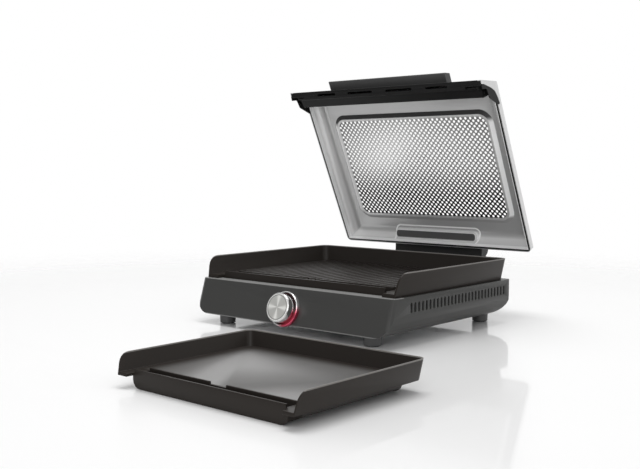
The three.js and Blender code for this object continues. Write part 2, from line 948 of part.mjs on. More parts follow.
function controlBracket() {
  const top = -base.wall - gap * 2;
  const plate = alongZ(
    rectangle(
      -control.bracketWidth / 2,
      -control.bracketHeight / 2,
      control.bracketWidth / 2,
      control.bracketHeight / 2,
      control.round,
      smallSteps,
    ),
    top - control.sheet,
    top,
  );
  return cut(plate, alongZ(circle(0, 0, control.bush + gap, fewSides), top - overrun, top + overrun));
}

function thermostat() {
  const top = -base.wall - gap * 3 - control.sheet;
  const body = alongZ(
    rectangle(-control.width / 2, -control.height / 2, control.width / 2, control.height / 2, control.round, smallSteps),
    top - control.depth,
    top,
  );
  const bush = alongZ(circle(0, 0, control.bush, fewSides), top, dial.discH);
  const bore = alongZ(circle(0, 0, dial.shaftRadius + gap / 2, fewSides), dial.shaftEndH - gap, dial.discH + overrun);
  return cut(join(body, bush), bore);
}

// Hinge on the housing

// Points of an arc about the origin, from one angle through a turn, both in degrees
function arcPoints(radius, from, turn, steps) {
  const points = [];
  for (let k = 0; k <= steps; k += 1) {
    const angle = THREE.MathUtils.degToRad(from + (turn * k) / steps);
    points.push([radius * Math.cos(angle), radius * Math.sin(angle)]);
  }
  return points;
}

function hingeBracket() {
  const earInner = hinge.armWidth / 2 + gap * 2 + hinge.washer;
  const earOuter = earInner + hinge.earThickness;
  const anchorY = base.depth - base.rearRound;
  const topZ = base.top - hinge.earTopDrop;
  const round = arcPoints(hinge.earRadius, -quarterTurn, -hinge.earTurn, roundSteps * 2);
  const earView = rounded([
    [anchorY, topZ],
    ...round.map(([a, b]) => [hingeY + a, hingeZ + b]),
    [anchorY, base.top - hinge.earFootDrop],
  ]);
  const ears = both((side) => alongX(
    earView,
    side < 0 ? -earOuter : earInner,
    side < 0 ? -earInner : earOuter,
  ));
  const plateRear = base.depth + gap + hinge.plateThickness;
  const back = alongX(
    rectangle(anchorY, base.top - hinge.plateFootDrop, plateRear, topZ),
    -earOuter,
    earOuter,
  );
  const bore = alongX(circle(hingeY, hingeZ, hinge.bore, fewSides), -earOuter - overrun, earOuter + overrun);
  return cut(join(back, ...ears), casing(-gap, base.top), bore);
}

function hingePin() {
  const earOuter = hinge.armWidth / 2 + gap * 2 + hinge.washer + hinge.earThickness;
  const rodPiece = alongX(
    circle(hingeY, hingeZ, hinge.pinRadius, fewSides),
    -earOuter - overrun,
    earOuter + gap + hinge.headThickness / 2,
  );
  const head = alongX(
    circle(hingeY, hingeZ, hinge.headRadius, footSteps),
    earOuter + gap,
    earOuter + gap + hinge.headThickness,
  );
  return join(rodPiece, head);
}

function pinClip() {
  const x = -(hinge.armWidth / 2 + gap * 3 + hinge.washer + hinge.earThickness);
  return cut(
    alongX(circle(hingeY, hingeZ, hinge.headRadius, footSteps), x - hinge.headThickness, x),
    alongX(circle(hingeY, hingeZ, hinge.bore, fewSides), x - overrun, x + overrun),
  );
}

function frictionWasher(side) {
  const x = side * (hinge.armWidth / 2 + gap + hinge.washer / 2);
  return cut(
    alongX(circle(hingeY, hingeZ, hinge.washerRadius, footSteps), x - hinge.washer / 2, x + hinge.washer / 2),
    alongX(circle(hingeY, hingeZ, hinge.bore, fewSides), x - overrun, x + overrun),
  );
}

// Lid pieces, drawn closed, with the hinge axis at the origin

const lidY = (v) => -axisBehindRim - gap - v;
const lidZ = (e) => axisBelowRim + e;
const lidPoint = ([v, e, radius]) => [lidY(v), lidZ(e), radius];

// Where the lid's front face lies at a height e, moved inwards by inset
function frontV(e, inset = 0) {
  const slope = (lid.visorV - lid.frontTopV) / (lid.thickness - lid.visorE);
  return lid.frontTopV + slope * (lid.thickness - e) - inset * Math.hypot(1, slope);
}

// The hood's form, or the same form moved inwards by inset, running down past the rim
function hood(inset) {
  const half = lid.width / 2 - inset;
  const top = lid.thickness - inset;
  const deep = lid.visorBottomE - overrun * 2;
  const sideView = rounded([
    [inset, deep],
    [inset, top, lid.rearRound - inset],
    [frontV(top, inset), top, lid.frontRound - inset],
    [frontV(deep, inset), deep],
  ].map(lidPoint), wideSteps);
  const frontView = rounded([
    [-half, lidZ(deep)],
    [half, lidZ(deep)],
    [half, lidZ(top), lid.sideRound - inset],
    [-half, lidZ(top), lid.sideRound - inset],
  ], wideSteps);
  const far = lidY(lid.visorV + overrun * 2);
  const plan = rounded([
    [-half, far],
    [half, far],
    [half, lidY(inset), lid.cornerRound - inset],
    [-half, lidY(inset), lid.cornerRound - inset],
  ], cornerSteps);
  return common(
    alongX(sideView, -half, half),
    alongY(frontView, far, lidY(-overrun)),
    alongZ(plan, lidZ(deep), lidZ(top)),
  );
}

// Everything below the rim line, with the steps at the lid's front ends
function belowRim() {
  const deep = lid.visorBottomE - overrun * 4;
  const beyond = overrun * 4;
  const rise = (lid.visorE - lid.visorBottomE) / (lid.visorV - lid.visorRearV);
  const line = rounded([
    [-overrun, deep],
    [-overrun, 0],
    [lid.rimEndV, 0, lid.rimEndRound],
    [lid.shelfRearV, lid.shelfRearE, lid.shelfRound],
    [lid.shelfFrontV, lid.shelfFrontE, lid.shelfRound],
    [lid.visorRearV, lid.visorBottomE, lid.edgeRound],
    [lid.visorV + beyond, lid.visorE + beyond * rise],
    [lid.visorV + beyond, deep],
  ].map(lidPoint), cornerSteps);
  return alongX(line, -lid.width, lid.width);
}

// Outline of the raised field at a height e: widest at the band, narrowest at its top
function fieldOutline(e, inset = 0) {
  const grow = (field.draft * (e - liner.bandE)) / field.rise - inset;
  return rectangle(
    -fieldHalf - grow,
    lidY(fieldFrontV + grow),
    fieldHalf + grow,
    lidY(field.rearV - grow),
    field.round + grow,
    wideSteps,
  );
}

// The raised field as a solid, moved outwards by inset
function fieldForm(inset) {
  const high = liner.bandE + overrun;
  return lofted([
    { points: fieldOutline(fieldTopE, inset), z: lidZ(fieldTopE + inset) },
    { points: fieldOutline(high, inset), z: lidZ(high + inset) },
  ]);
}

// Places a solid made about the middle of the pad's top, with Z out of the lid
function onPad(shape) {
  return shape.rotate([pad.tilt, 0, 0]).translate([0, lidY(pad.middleV), lidZ(pad.middleE)]);
}

function padForm(inset) {
  const outline = (grow) => rectangle(
    -pad.width / 2 - grow,
    -pad.length / 2 - grow,
    pad.width / 2 + grow,
    pad.length / 2 + grow,
    pad.round + grow,
    cornerSteps,
  );
  return onPad(lofted([
    { points: outline(-inset), z: inset },
    { points: outline(pad.draft - inset), z: pad.depth + inset },
  ]));
}

const cheekLine = () => [
  [lid.rimEndV, 0, lid.rimEndRound],
  [lid.shelfRearV, lid.shelfRearE, lid.shelfRound],
  [lid.shelfFrontV, lid.shelfFrontE, lid.shelfRound],
  [lid.visorRearV, lid.visorBottomE, lid.edgeRound],
  [base.depth - cheekFit.bottom, cheek.bottomE],
  [base.depth - cheekFit.inner, cheek.innerE, cheek.round],
  [base.depth - cheekFit.middle, cheek.middleE, cheek.round],
  [base.depth - cheekFit.upper, cheek.upperE, cheek.round],
  [base.depth - cheekFit.rear, cheek.rearE, cheek.round],
  [lid.rimEndV, cheek.topE],
].map(lidPoint);

// A cheek's form on one side of the lid, or the room for it when grown; it reaches inwards by reach
function cheekForm(side, grow, reach = 0) {
  const corners = rounded(cheekLine(), smallSteps).map((p) => [p.x, p.y]);
  const [line] = new wasm.CrossSection([corners], 'NonZero').offset(grow, 'Miter').toPolygons();
  const outline = line.map(([a, b]) => new THREE.Vector2(a, b));
  const inner = lid.width / 2 - lid.sheet - grow - reach;
  const outer = lid.width / 2 + grow;
  return alongX(outline, side < 0 ? -outer : inner, side < 0 ? -inner : outer);
}

function lidShell() {
  const skin = cut(hood(0), hood(lid.sheet), belowRim());
  const windowGap = liner.bandE + windowFrame.wall + gap;
  const opening = alongZ(windowOutline(windowFrame.wall + gap), lidZ(windowGap), lidZ(lid.thickness + overrun));
  const innerHalf = lid.width / 2 - lid.skirtWidth;
  const visorOpening = block(
    -innerHalf,
    lidY(lid.visorV + overrun),
    lidZ(lid.visorBottomE - overrun),
    innerHalf,
    lidY(lid.rimEndV),
    lidZ(lid.coverE),
  );
  return cut(skin, opening, visorOpening, ...both((side) => cheekForm(side, gap)));
}

function windowOutline(grow) {
  return rectangle(
    -fieldHalf - grow,
    lidY(fieldFrontV + grow),
    fieldHalf + grow,
    lidY(field.rearV - grow),
    field.round + grow,
    wideSteps,
  );
}

// Frame that closes the room between the liner and the hood round the window
function windowSurround() {
  return pierced(
    windowOutline(windowFrame.wall),
    lidZ(liner.bandE + liner.sheet + gap),
    lidZ(windowFrame.top),
    [windowOutline(0)],
  );
}

function rimEdging() {
  const half = lid.width / 2 - lid.sheet - gap;
  const rear = lidY(lid.sheet + gap);
  const front = lidY(base.depth - liner.edgingFront);
  const outer = rectangle(-half, front, half, rear);
  const inner = rectangle(-half + liner.edging, front - overrun, half - liner.edging, rear - liner.edging);
  const frame = cut(
    alongZ(outer, lidZ(0), lidZ(liner.edgingHeight)),
    alongZ(inner, lidZ(-overrun), lidZ(liner.edgingHeight + overrun)),
  );
  return common(frame, hood(lid.sheet + gap));
}

function linerPan(inset) {
  const half = lid.width / 2 - lid.sheet - gap * 2 - liner.edging - inset;
  const rear = lid.sheet + gap * 2 + liner.edging + inset;
  const top = liner.bandE + liner.sheet - inset;
  const front = linerFrontV - inset;
  const low = -inset * overrun;
  const sideView = rounded([
    [rear, low],
    [rear, top, liner.rearRound + liner.sheet - inset],
    [front, top, liner.frontRound + liner.sheet - inset],
    [front, low],
  ].map(lidPoint), wideSteps);
  const frontView = rounded([
    [-half, lidZ(-overrun * 2)],
    [half, lidZ(-overrun * 2)],
    [half, lidZ(top), liner.sideRound + liner.sheet - inset],
    [-half, lidZ(top), liner.sideRound + liner.sheet - inset],
  ], wideSteps);
  return common(
    alongX(sideView, -half, half),
    alongY(frontView, lidY(linerFrontV + overrun), lidY(0)),
  );
}

// Pressed liner with a raised field round the window and a raised pad on its rear band
function lidLiner() {
  const skinSide = cut(linerPan(0), fieldForm(liner.sheet), padForm(liner.sheet));
  const foodSide = cut(linerPan(liner.sheet), fieldForm(0), padForm(0));
  const window = alongZ(fieldOutline(fieldTopE, field.flange), lidZ(0), lidZ(lid.thickness));
  return cut(skinSide, foodSide, window);
}

// Perforated screen: a flat sheet with staggered diamond holes, kept clear of its edge
function meshScreen() {
  const edge = fieldOutline(fieldTopE, liner.sheet);
  const halfWidth = fieldHalf - field.draft - field.flange - screen.land;
  const middleV = (field.rearV + fieldFrontV) / 2;
  const halfDepth = (fieldFrontV - field.rearV) / 2 - field.draft - field.flange - screen.land;
  const columns = Math.floor((halfWidth - screen.reach) / (screen.pitch / 2));
  const rows = Math.floor((halfDepth - screen.reach) / (screen.pitch / 2));
  const round = field.round - field.draft;
  const holes = [];
  for (let i = -columns; i <= columns; i += 1) {
    for (let j = -rows; j <= rows; j += 1) {
      const x = (i * screen.pitch) / 2;
      const y = (j * screen.pitch) / 2;
      const cornerX = Math.abs(x) + screen.reach - (halfWidth - round);
      const cornerY = Math.abs(y) + screen.reach - (halfDepth - round);
      const inCorner = cornerX > 0 && cornerY > 0 && Math.hypot(cornerX, cornerY) > round;
      if ((i + j) % 2 === 0 && !inCorner) {
        holes.push(circle(x, lidY(middleV) + y, screen.reach, 4));
      }
    }
  }
  return pierced(edge, lidZ(screenE), lidZ(screenE + screen.thickness), holes);
}

function fixingPlate() {
  const outline = rectangle(
    -fixing.width / 2,
    -fixing.length / 2,
    fixing.width / 2,
    fixing.length / 2,
    fixing.round,
    cornerSteps,
  );
  return onPad(alongZ(outline, -gap - fixing.thickness, -gap));
}

// Visor across the lid's front: a hollow channel that closes the front above the plate's lip
function visorChannel() {
  const half = lid.width / 2 - lid.sheet - gap;
  const frontHalf = lid.width / 2 - lid.skirtWidth - gap;
  const coverV = frontV(visor.top, lid.sheet + gap);
  const outer = [
    [linerFrontV + gap, visor.top],
    [linerFrontV + gap, -overrun],
    [lid.shelfRearV, lid.shelfRearE, lid.edgeRound],
    [lid.shelfFrontV, lid.shelfFrontE, lid.shelfRound],
    [lid.visorRearV, lid.visorBottomE, lid.edgeRound],
    [frontV(lid.visorE), lid.visorE, lid.edgeRound],
    [frontV(lid.coverE - gap), lid.coverE - gap],
    [frontV(lid.coverE - gap, lid.sheet + gap), lid.coverE - gap],
    [coverV, visor.top],
  ];
  const bar = alongX(rounded(outer.map(lidPoint), cornerSteps), -half, half);
  const wall = visor.wall;
  const cavity = [
    [linerFrontV + gap + wall, visor.top + overrun],
    [lid.shelfRearV + wall, lid.shelfRearE + wall],
    [lid.shelfFrontV + wall, lid.shelfFrontE + wall],
    [lid.visorRearV + wall, lid.visorBottomE + wall],
    [frontV(lid.visorE + wall, wall), lid.visorE + wall],
    [frontV(visor.top + overrun, lid.sheet + gap + wall), visor.top + overrun],
  ];
  const inside = alongX(rounded(cavity.map(lidPoint)), -visorInnerHalf + wall, visorInnerHalf - wall);
  const ends = both((side) => alongX(
    rounded([
      [frontV(lid.visorBottomE - overrun, lid.sheet + gap), lid.visorBottomE - overrun],
      [frontV(visor.top + overrun, lid.sheet + gap), visor.top + overrun],
      [lid.visorV + overrun, visor.top + overrun],
      [lid.visorV + overrun, lid.visorBottomE - overrun],
    ].map(lidPoint)),
    side < 0 ? -half - overrun : frontHalf,
    side < 0 ? -frontHalf : half + overrun,
  ));
  const channel = cut(bar, inside, ...ends, ...plateWallRoom(half), ...visorSlots());
  const cheeks = both((side) => common(join(cheekForm(side, 0), cheekBridge(side)), hood(0)));
  return join(channel, ...cheeks);
}

// Joins a cheek to the channel's end in front of the plate's side wall
function cheekBridge(side) {
  const reach = block(
    -lid.width,
    lidY(lid.visorV + overrun),
    lidZ(lid.visorBottomE - overrun),
    lid.width,
    lidY(base.depth - cheekFit.inner),
    lidZ(0),
  );
  return common(cheekForm(side, 0, cheekFit.bridgeReach), reach);
}

// Room in the visor's ends for the closed lid to pass the plate's side walls and corners
function plateWallRoom(half) {
  const plate = fullPlate;
  const footV = base.depth - plateY + visor.wallClearance;
  const footE = flangeZ - (flangeZ + plate.rise + lidSeatGap);
  const topE = footE + plate.rise + visor.wallClearance;
  const view = rounded([
    [lid.rimEndV - overrun * 2, footE - overrun * 2],
    [footV + (overrun * 2 * plate.frontSlope) / plate.rise, footE - overrun * 2],
    [footV - plate.frontSlope, topE, plate.frontRound],
    [lid.rimEndV - overrun * 2, topE],
  ].map(lidPoint));
  const walls = both((side) => alongX(
    view,
    side < 0 ? -half - overrun : visorInnerHalf,
    side < 0 ? -visorInnerHalf : half + overrun,
  ));
  const cornerHalf = plate.lowerWidth / 2 - visor.cornerRoom;
  const corners = both((side) => block(
    side < 0 ? -half - overrun : cornerHalf,
    lidY(footV),
    lidZ(footE - overrun * 2),
    side < 0 ? -cornerHalf : half + overrun,
    lidY(lid.rimEndV),
    lidZ(footE + plate.deck + visor.wallClearance),
  ));
  return [...walls, ...corners];
}

function visorSlots() {
  const middleV = (lid.visorRearV + frontV(lid.visorE)) / 2;
  return visor.slotStarts.flatMap((start, i) => both((side) => block(
    side < 0 ? -visor.slotEnds[i] : start,
    lidY(middleV + visor.slotDepth / 2),
    lidZ(lid.visorBottomE - overrun),
    side < 0 ? -start : visor.slotEnds[i],
    lidY(middleV - visor.slotDepth / 2),
    lidZ(lid.visorE + visor.wall + gap),
  )));
}

// Handle bar on the lid's front face, with a finger groove along its upper side
function lidHandle() {
  const half = handle.width / 2;
  const rearAt = (e) => frontV(e, -gap);
  const tipAt = (e) => frontV(e) + handle.reach;
  const view = rounded([
    [rearAt(handle.lowE), handle.lowE],
    [rearAt(handle.highE), handle.highE],
    [tipAt(handle.highE), handle.highE, handle.round],
    [tipAt(handle.lowE), handle.lowE, handle.round],
  ].map(lidPoint), smallSteps);
  const grooveE = handle.highE - handle.gripDepth;
  const grip = rounded([
    [rearAt(handle.highE) + handle.gripInset, handle.highE + overrun],
    [rearAt(grooveE) + handle.gripInset, grooveE, handle.round],
    [tipAt(grooveE) - handle.gripInset, grooveE, handle.round],
    [tipAt(handle.highE) - handle.gripInset, handle.highE + overrun],
  ].map(lidPoint), smallSteps);
  return cut(
    alongX(view, -half, half),
    alongX(grip, -handle.gripWidth / 2, handle.gripWidth / 2),
  );
}

// Wide arm from the pin up to the lid's rear wall
function hingeArm() {
  const half = hinge.armWidth / 2;
  const view = rounded([
    [lidY(-gap), lidZ(hinge.armRootE)],
    [lidY(-gap), lidZ(hinge.armTop), hinge.rootRound],
    [lidY(-hinge.armBackV), lidZ(hinge.armTop), hinge.backRound],
    ...arcPoints(hinge.barrel, hinge.barrelStart, hinge.barrelTurn, roundSteps * 2),
    [lidY(-hinge.armUnderV), lidZ(hinge.armUnderE), hinge.underRound],
  ], cornerSteps);
  return cut(
    alongX(view, -half, half),
    alongX(circle(0, 0, hinge.bore, fewSides), -half - overrun, half + overrun),
  );
}

// Assembly

piece('housing', housing(), charcoalPaint, assembly);
piece('bottom_cover', bottomCover(), bareSteel, assembly);
const footHalf = base.width / 2 - foot.sideInset;
[['front', foot.frontY], ['rear', base.depth - foot.rearInset]].forEach(([end, y]) => {
  [['left', -footHalf], ['right', footHalf]].forEach(([side, x]) => {
    piece(`foot_${end}_${side}`, footAt(x, y), blackPlastic, assembly);
    piece(`foot_pad_${end}_${side}`, footPadAt(x, y), blackRubber, assembly);
  });
});

piece('heat_reflector', heatReflector(), bareSteel, assembly);
piece('heating_element', rod(element.radius, rodSides), sheathMetal, assembly);
piece('element_rail_left', elementRail(-1), bareSteel, assembly);
piece('element_rail_right', elementRail(1), bareSteel, assembly);
piece('temperature_probe', temperatureProbe(), bareSteel, assembly);
piece('thermal_cutout', thermalCutout(), ceramic, assembly);
piece('terminal_block_front', terminalBlock(0), ceramic, assembly);
piece('terminal_block_rear', terminalBlock(element.rows - 1), ceramic, assembly);
piece('cord_gland', cordGland(), blackRubber, assembly);

const dialGroup = new THREE.Group();
dialGroup.position.set(0, dialY, dialZ);
dialGroup.rotation.x = Math.PI / 2 - panelAngle;
assembly.add(dialGroup);
piece('dial_base', dialBase(), blackPlastic, dialGroup);
piece('light_ring', lightRing(), redLens, dialGroup);
piece('bezel_ring', bezelRing(), chromePlate, dialGroup);
piece('indicator_board', indicatorBoard(), ceramic, dialGroup);
piece('control_bracket', controlBracket(), bareSteel, dialGroup);
piece('thermostat', thermostat(), blackPlastic, dialGroup);
piece('knob_body', knobBody(), chromePlate, dialGroup);
piece('knob_cap', knobCap(), satinSteel, dialGroup);
piece('dial_shaft', dialShaft(), bareSteel, dialGroup);

piece('hinge_bracket', hingeBracket(), blackPlastic, assembly);
piece('hinge_pin', hingePin(), bareSteel, assembly);
piece('pin_clip', pinClip(), bareSteel, assembly);
piece('friction_washer_left', frictionWasher(-1), bareSteel, assembly);
piece('friction_washer_right', frictionWasher(1), bareSteel, assembly);

const lidGroup = new THREE.Group();
lidGroup.position.set(0, hingeY, hingeZ);
lidGroup.rotation.x = -THREE.MathUtils.degToRad(lidOpenAngle);
assembly.add(lidGroup);
piece('hinge_arm', hingeArm(), blackPlastic, lidGroup);
piece('lid_shell', lidShell(), satinSteel, lidGroup);
piece('lid_liner', lidLiner(), satinSteel, lidGroup);
piece('mesh_screen', meshScreen(), satinSteel, lidGroup);
piece('window_frame', windowSurround(), satinSteel, lidGroup);
piece('rim_edging', rimEdging(), blackRubber, lidGroup);
piece('fixing_plate', fixingPlate(), blackPlastic, lidGroup);
piece('lid_visor', visorChannel(), blackPlastic, lidGroup);
piece('lid_handle', lidHandle(), blackPlastic, lidGroup);

const grillPlate = piece('grill_plate', cookingPlate(fullPlate, ridges(fullPlate)), castCoating, assembly);
grillPlate.position.set(0, plateY, flangeZ);
const griddle = scaled(fullPlate, griddleShare);
const griddlePlate = piece('griddle_plate', cookingPlate(griddle, []), castCoating, assembly);
griddlePlate.position.set(griddleX, griddleY, griddle.lowerDepth);

const bounds = new THREE.Box3().setFromObject(assembly, true);
const middle = bounds.getCenter(new THREE.Vector3());
assembly.position.set(-middle.x, -middle.y, -bounds.min.z);

const set = new THREE.Group();
set.add(assembly);

export default set;
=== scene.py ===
"""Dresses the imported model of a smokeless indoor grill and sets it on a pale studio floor.

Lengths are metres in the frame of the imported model: +X right, +Y back, +Z up.
"""

import json
import math

import bmesh
import bpy
from bpy.props import FloatProperty, FloatVectorProperty, IntProperty, PointerProperty
from bpy.types import Operator, Panel, PropertyGroup
from mathutils import Matrix, Vector

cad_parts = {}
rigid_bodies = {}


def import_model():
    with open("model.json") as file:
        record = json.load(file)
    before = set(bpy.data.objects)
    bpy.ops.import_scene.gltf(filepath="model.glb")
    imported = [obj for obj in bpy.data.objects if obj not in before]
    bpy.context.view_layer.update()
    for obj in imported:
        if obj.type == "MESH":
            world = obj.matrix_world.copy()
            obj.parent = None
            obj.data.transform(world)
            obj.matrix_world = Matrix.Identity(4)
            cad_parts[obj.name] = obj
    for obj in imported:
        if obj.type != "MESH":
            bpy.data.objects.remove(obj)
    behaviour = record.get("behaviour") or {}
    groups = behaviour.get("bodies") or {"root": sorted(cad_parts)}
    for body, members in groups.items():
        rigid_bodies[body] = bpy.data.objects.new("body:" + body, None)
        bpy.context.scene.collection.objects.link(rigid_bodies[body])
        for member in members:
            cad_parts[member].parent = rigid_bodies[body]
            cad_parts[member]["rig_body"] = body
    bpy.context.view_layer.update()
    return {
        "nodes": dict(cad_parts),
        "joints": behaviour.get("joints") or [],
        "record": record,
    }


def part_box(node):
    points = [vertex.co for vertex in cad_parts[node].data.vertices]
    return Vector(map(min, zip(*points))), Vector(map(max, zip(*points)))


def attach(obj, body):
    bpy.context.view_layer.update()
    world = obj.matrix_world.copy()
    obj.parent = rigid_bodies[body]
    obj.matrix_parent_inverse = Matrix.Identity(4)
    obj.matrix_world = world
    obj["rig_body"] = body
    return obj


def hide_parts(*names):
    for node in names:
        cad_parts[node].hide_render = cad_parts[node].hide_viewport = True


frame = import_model()

bl_info = {
    "name": "Indoor grill dressing",
    "version": (1, 0, 0),
    "blender": (4, 5, 0),
    "location": "View3D > Sidebar > Grill",
    "description": "Finishes, perforated screen, dial and studio for an indoor grill",
    "category": "Object",
}

MM = 0.001
HOUSING_DEPTH = 335.5 * MM


# Places taken from the frame

def srgb(red, green, blue):
    """A colour given as 8-bit screen values, as the linear colour that a shader takes."""
    def linear(value):
        share = value / 255
        return share / 12.92 if share <= 0.04045 else ((share + 0.055) / 1.055) ** 2.4
    return tuple(linear(value) for value in (red, green, blue))


def joint(name):
    return next(j for j in frame["joints"] if j["name"] == name)


def lid_place(angle):
    """Matrix from the closed lid, with the hinge axis at the origin, to the lid as it stands."""
    return Matrix.Translation(joint("lid_hinge")["pos_m"]) @ Matrix.Rotation(-angle, 4, "X")


def dial_place():
    """Matrix from the dial's own frame, with Z square out of the panel, to the model."""
    hinge = joint("knob_turn")
    out = -Vector(hinge["axis"]).normalized()
    across = Vector((1, 0, 0))
    up = out.cross(across)
    turn = Matrix((across, up, out)).transposed().to_4x4()
    return Matrix.Translation(hinge["pos_m"]) @ turn


def box_in(node, place):
    """Lowest and highest corners of a CAD node in the frame that place leads from."""
    back = place.inverted()
    points = [back @ v.co for v in frame["nodes"][node].data.vertices]
    low = Vector([min(p[i] for p in points) for i in range(3)])
    high = Vector([max(p[i] for p in points) for i in range(3)])
    return low, high


# Sizes and colours that a user would change

class GrillSizes(PropertyGroup):
    """Sizes of the pieces that are made here."""

    edge_round: FloatProperty(
        name="Edge round", description="Width of the rounded edge of moulded pieces",
        default=0.5 * MM, unit="LENGTH")
    paint_round: FloatProperty(
        name="Painted edge round", description="Width of the rounded edge of the painted housing",
        default=1.1 * MM, unit="LENGTH")
    cast_round: FloatProperty(
        name="Cast edge round", description="Width of the rounded edge of the cast plates",
        default=0.9 * MM, unit="LENGTH")
    sheet_round: FloatProperty(
        name="Sheet edge round", description="Width of the rounded edge of the sheet metal",
        default=0.25 * MM, unit="LENGTH")
    lid_angle: FloatProperty(
        name="Lid angle", description="Angle at which the lid stands open",
        default=math.radians(64.77), subtype="ANGLE")
    hole_pitch_x: FloatProperty(
        name="Hole pitch across", description="Distance between holes of one row of the screen",
        default=10.0 * MM, unit="LENGTH")
    hole_pitch_y: FloatProperty(
        name="Hole pitch along", description="Distance between every other row of holes",
        default=10.2 * MM, unit="LENGTH")
    hole_radius: FloatProperty(
        name="Hole radius", description="Radius of each hole of the screen",
        default=2.65 * MM, unit="LENGTH")
    hole_sides: IntProperty(
        name="Hole sides", description="Facets of each hole of the screen", default=8)
    screen_round: FloatProperty(
        name="Screen corner", description="Corner radius of the screen",
        default=17.6 * MM, unit="LENGTH")
    screen_land: FloatProperty(
        name="Screen land", description="Plain edge left round the holes",
        default=2.9 * MM, unit="LENGTH")


class GrillColours(PropertyGroup):
    """Colours of the finishes."""

    paint: FloatVectorProperty(
        name="Paint", description="Satin charcoal paint of the housing",
        subtype="COLOR", default=srgb(67, 67, 66))
    coating: FloatVectorProperty(
        name="Plate coating", description="Non-stick coating of the cast plates",
        subtype="COLOR", default=srgb(46, 42, 39))
    steel: FloatVectorProperty(
        name="Lid steel", description="Satin steel of the lid",
        subtype="COLOR", default=srgb(216, 216, 216))
    plastic: FloatVectorProperty(
        name="Black plastic", description="Moulded visor and dial base",
        subtype="COLOR", default=srgb(22, 22, 22))
    hinge: FloatVectorProperty(
        name="Hinge plastic", description="Moulded hinge arm and bracket",
        subtype="COLOR", default=srgb(48, 48, 48))
    pad: FloatVectorProperty(
        name="Fixing plate", description="Moulded plate that holds the handle",
        subtype="COLOR", default=srgb(84, 84, 84))
    grip: FloatVectorProperty(
        name="Grip plastic", description="Moulded handle of the lid",
        subtype="COLOR", default=srgb(84, 84, 84))
    chrome: FloatVectorProperty(
        name="Chrome", description="Bright ring and sides of the knob",
        subtype="COLOR", default=srgb(226, 226, 226))
    light: FloatVectorProperty(
        name="Ring light", description="Red light of the ring round the knob",
        subtype="COLOR", default=srgb(205, 25, 60))
    lens: FloatVectorProperty(
        name="Unlit ring", description="Colour of the light ring where it is unlit",
        subtype="COLOR", default=srgb(46, 12, 15))


class StudioSettings(PropertyGroup):
    """Floor, lamps and camera."""

    floor_colour: FloatVectorProperty(
        name="Floor", description="Colour of the studio floor",
        subtype="COLOR", default=srgb(250, 250, 250))
    floor_reach: FloatProperty(
        name="Floor reach", description="Half width of the floor", default=6.0, unit="LENGTH")
    ambient: FloatProperty(
        name="Ambient level", description="Strength of the even light from all round", default=0.5)
    dark_share: FloatProperty(
        name="Dark side", description="How much darker gloss shows the unlit side of the studio",
        default=0.8)
    top_power: FloatProperty(
        name="Top softbox", description="Power of the softbox overhead in watts",
        default=27.0)
    key_power: FloatProperty(
        name="Key softbox", description="Power of the softbox at the front right in watts",
        default=13.0)
    lens: FloatProperty(
        name="Lens", description="Focal length for a 36 mm wide sensor, in millimetres",
        default=52.65)


def sizes():
    return bpy.context.scene.grill_sizes


def colours():
    return bpy.context.scene.grill_colours


# Shader groups shared by the finishes

def new_group(name, inputs, outputs):
    """An empty shader group, with its input and output nodes."""
    tree = bpy.data.node_groups.new(name, "ShaderNodeTree")
    for label, kind in inputs:
        tree.interface.new_socket(label, in_out="INPUT", socket_type=kind)
    for label, kind in outputs:
        tree.interface.new_socket(label, in_out="OUTPUT", socket_type=kind)
    return tree, tree.nodes.new("NodeGroupInput"), tree.nodes.new("NodeGroupOutput")


def math_node(tree, operation, first, second=None):
    """Result of a Math node whose inputs are sockets or plain numbers."""
    node = tree.nodes.new("ShaderNodeMath")
    node.operation = operation
    for socket, value in zip(node.inputs, (first, second)):
        if isinstance(value, (int, float)):
            socket.default_value = value
        elif value is not None:
            tree.links.new(value, socket)
    return node.outputs[0]


def times(tree, *values):
    """Product of all the values."""
    product = values[0]
    for value in values[1:]:
        product = math_node(tree, "MULTIPLY", product, value)
    return product


def largest(tree, *values):
    """The largest of the values."""
    most = values[0]
    for value in values[1:]:
        most = math_node(tree, "MAXIMUM", most, value)
    return most


def noise_node(tree, vector, scale, detail, roughness=0.5):
    """Noise over the vector, at a scale that is a socket or a plain number."""
    node = tree.nodes.new("ShaderNodeTexNoise")
    node.inputs["Detail"].default_value = detail
    node.inputs["Roughness"].default_value = roughness
    tree.links.new(vector, node.inputs["Vector"])
    if isinstance(scale, (int, float)):
        node.inputs["Scale"].default_value = scale
    else:
        tree.links.new(scale, node.inputs["Scale"])
    return node.outputs["Fac"]


def shared(tree, first, second, share):
    """The given share of the first value and the rest of the second."""
    return math_node(tree, "ADD", times(tree, first, share), times(tree, second, 1.0 - share))


def spread_about(tree, value, noise, amount):
    """value times one plus amount times the noise's distance from its middle."""
    swing = times(tree, math_node(tree, "SUBTRACT", noise, 0.5), amount)
    return times(tree, value, math_node(tree, "ADD", swing, 1.0))


def scaled_colour(tree, colour, factor):
    node = tree.nodes.new("ShaderNodeVectorMath")
    node.operation = "SCALE"
    tree.links.new(colour, node.inputs[0])
    tree.links.new(factor, node.inputs["Scale"])
    return node.outputs[0]


def local_axes(tree, place):
    """X, Y and Z of the shaded point in the frame that place leads from."""
    coordinates = tree.nodes.get("Texture Coordinate") or tree.nodes.new("ShaderNodeTexCoord")
    turn = tree.nodes.new("ShaderNodeMapping")
    turn.vector_type = "TEXTURE"
    turn.inputs["Location"].default_value = place.to_translation()
    turn.inputs["Rotation"].default_value = place.to_euler()
    tree.links.new(coordinates.outputs["Object"], turn.inputs["Vector"])
    axes = tree.nodes.new("ShaderNodeSeparateXYZ")
    tree.links.new(turn.outputs["Vector"], axes.inputs[0])
    return axes.outputs["X"], axes.outputs["Y"], axes.outputs["Z"]


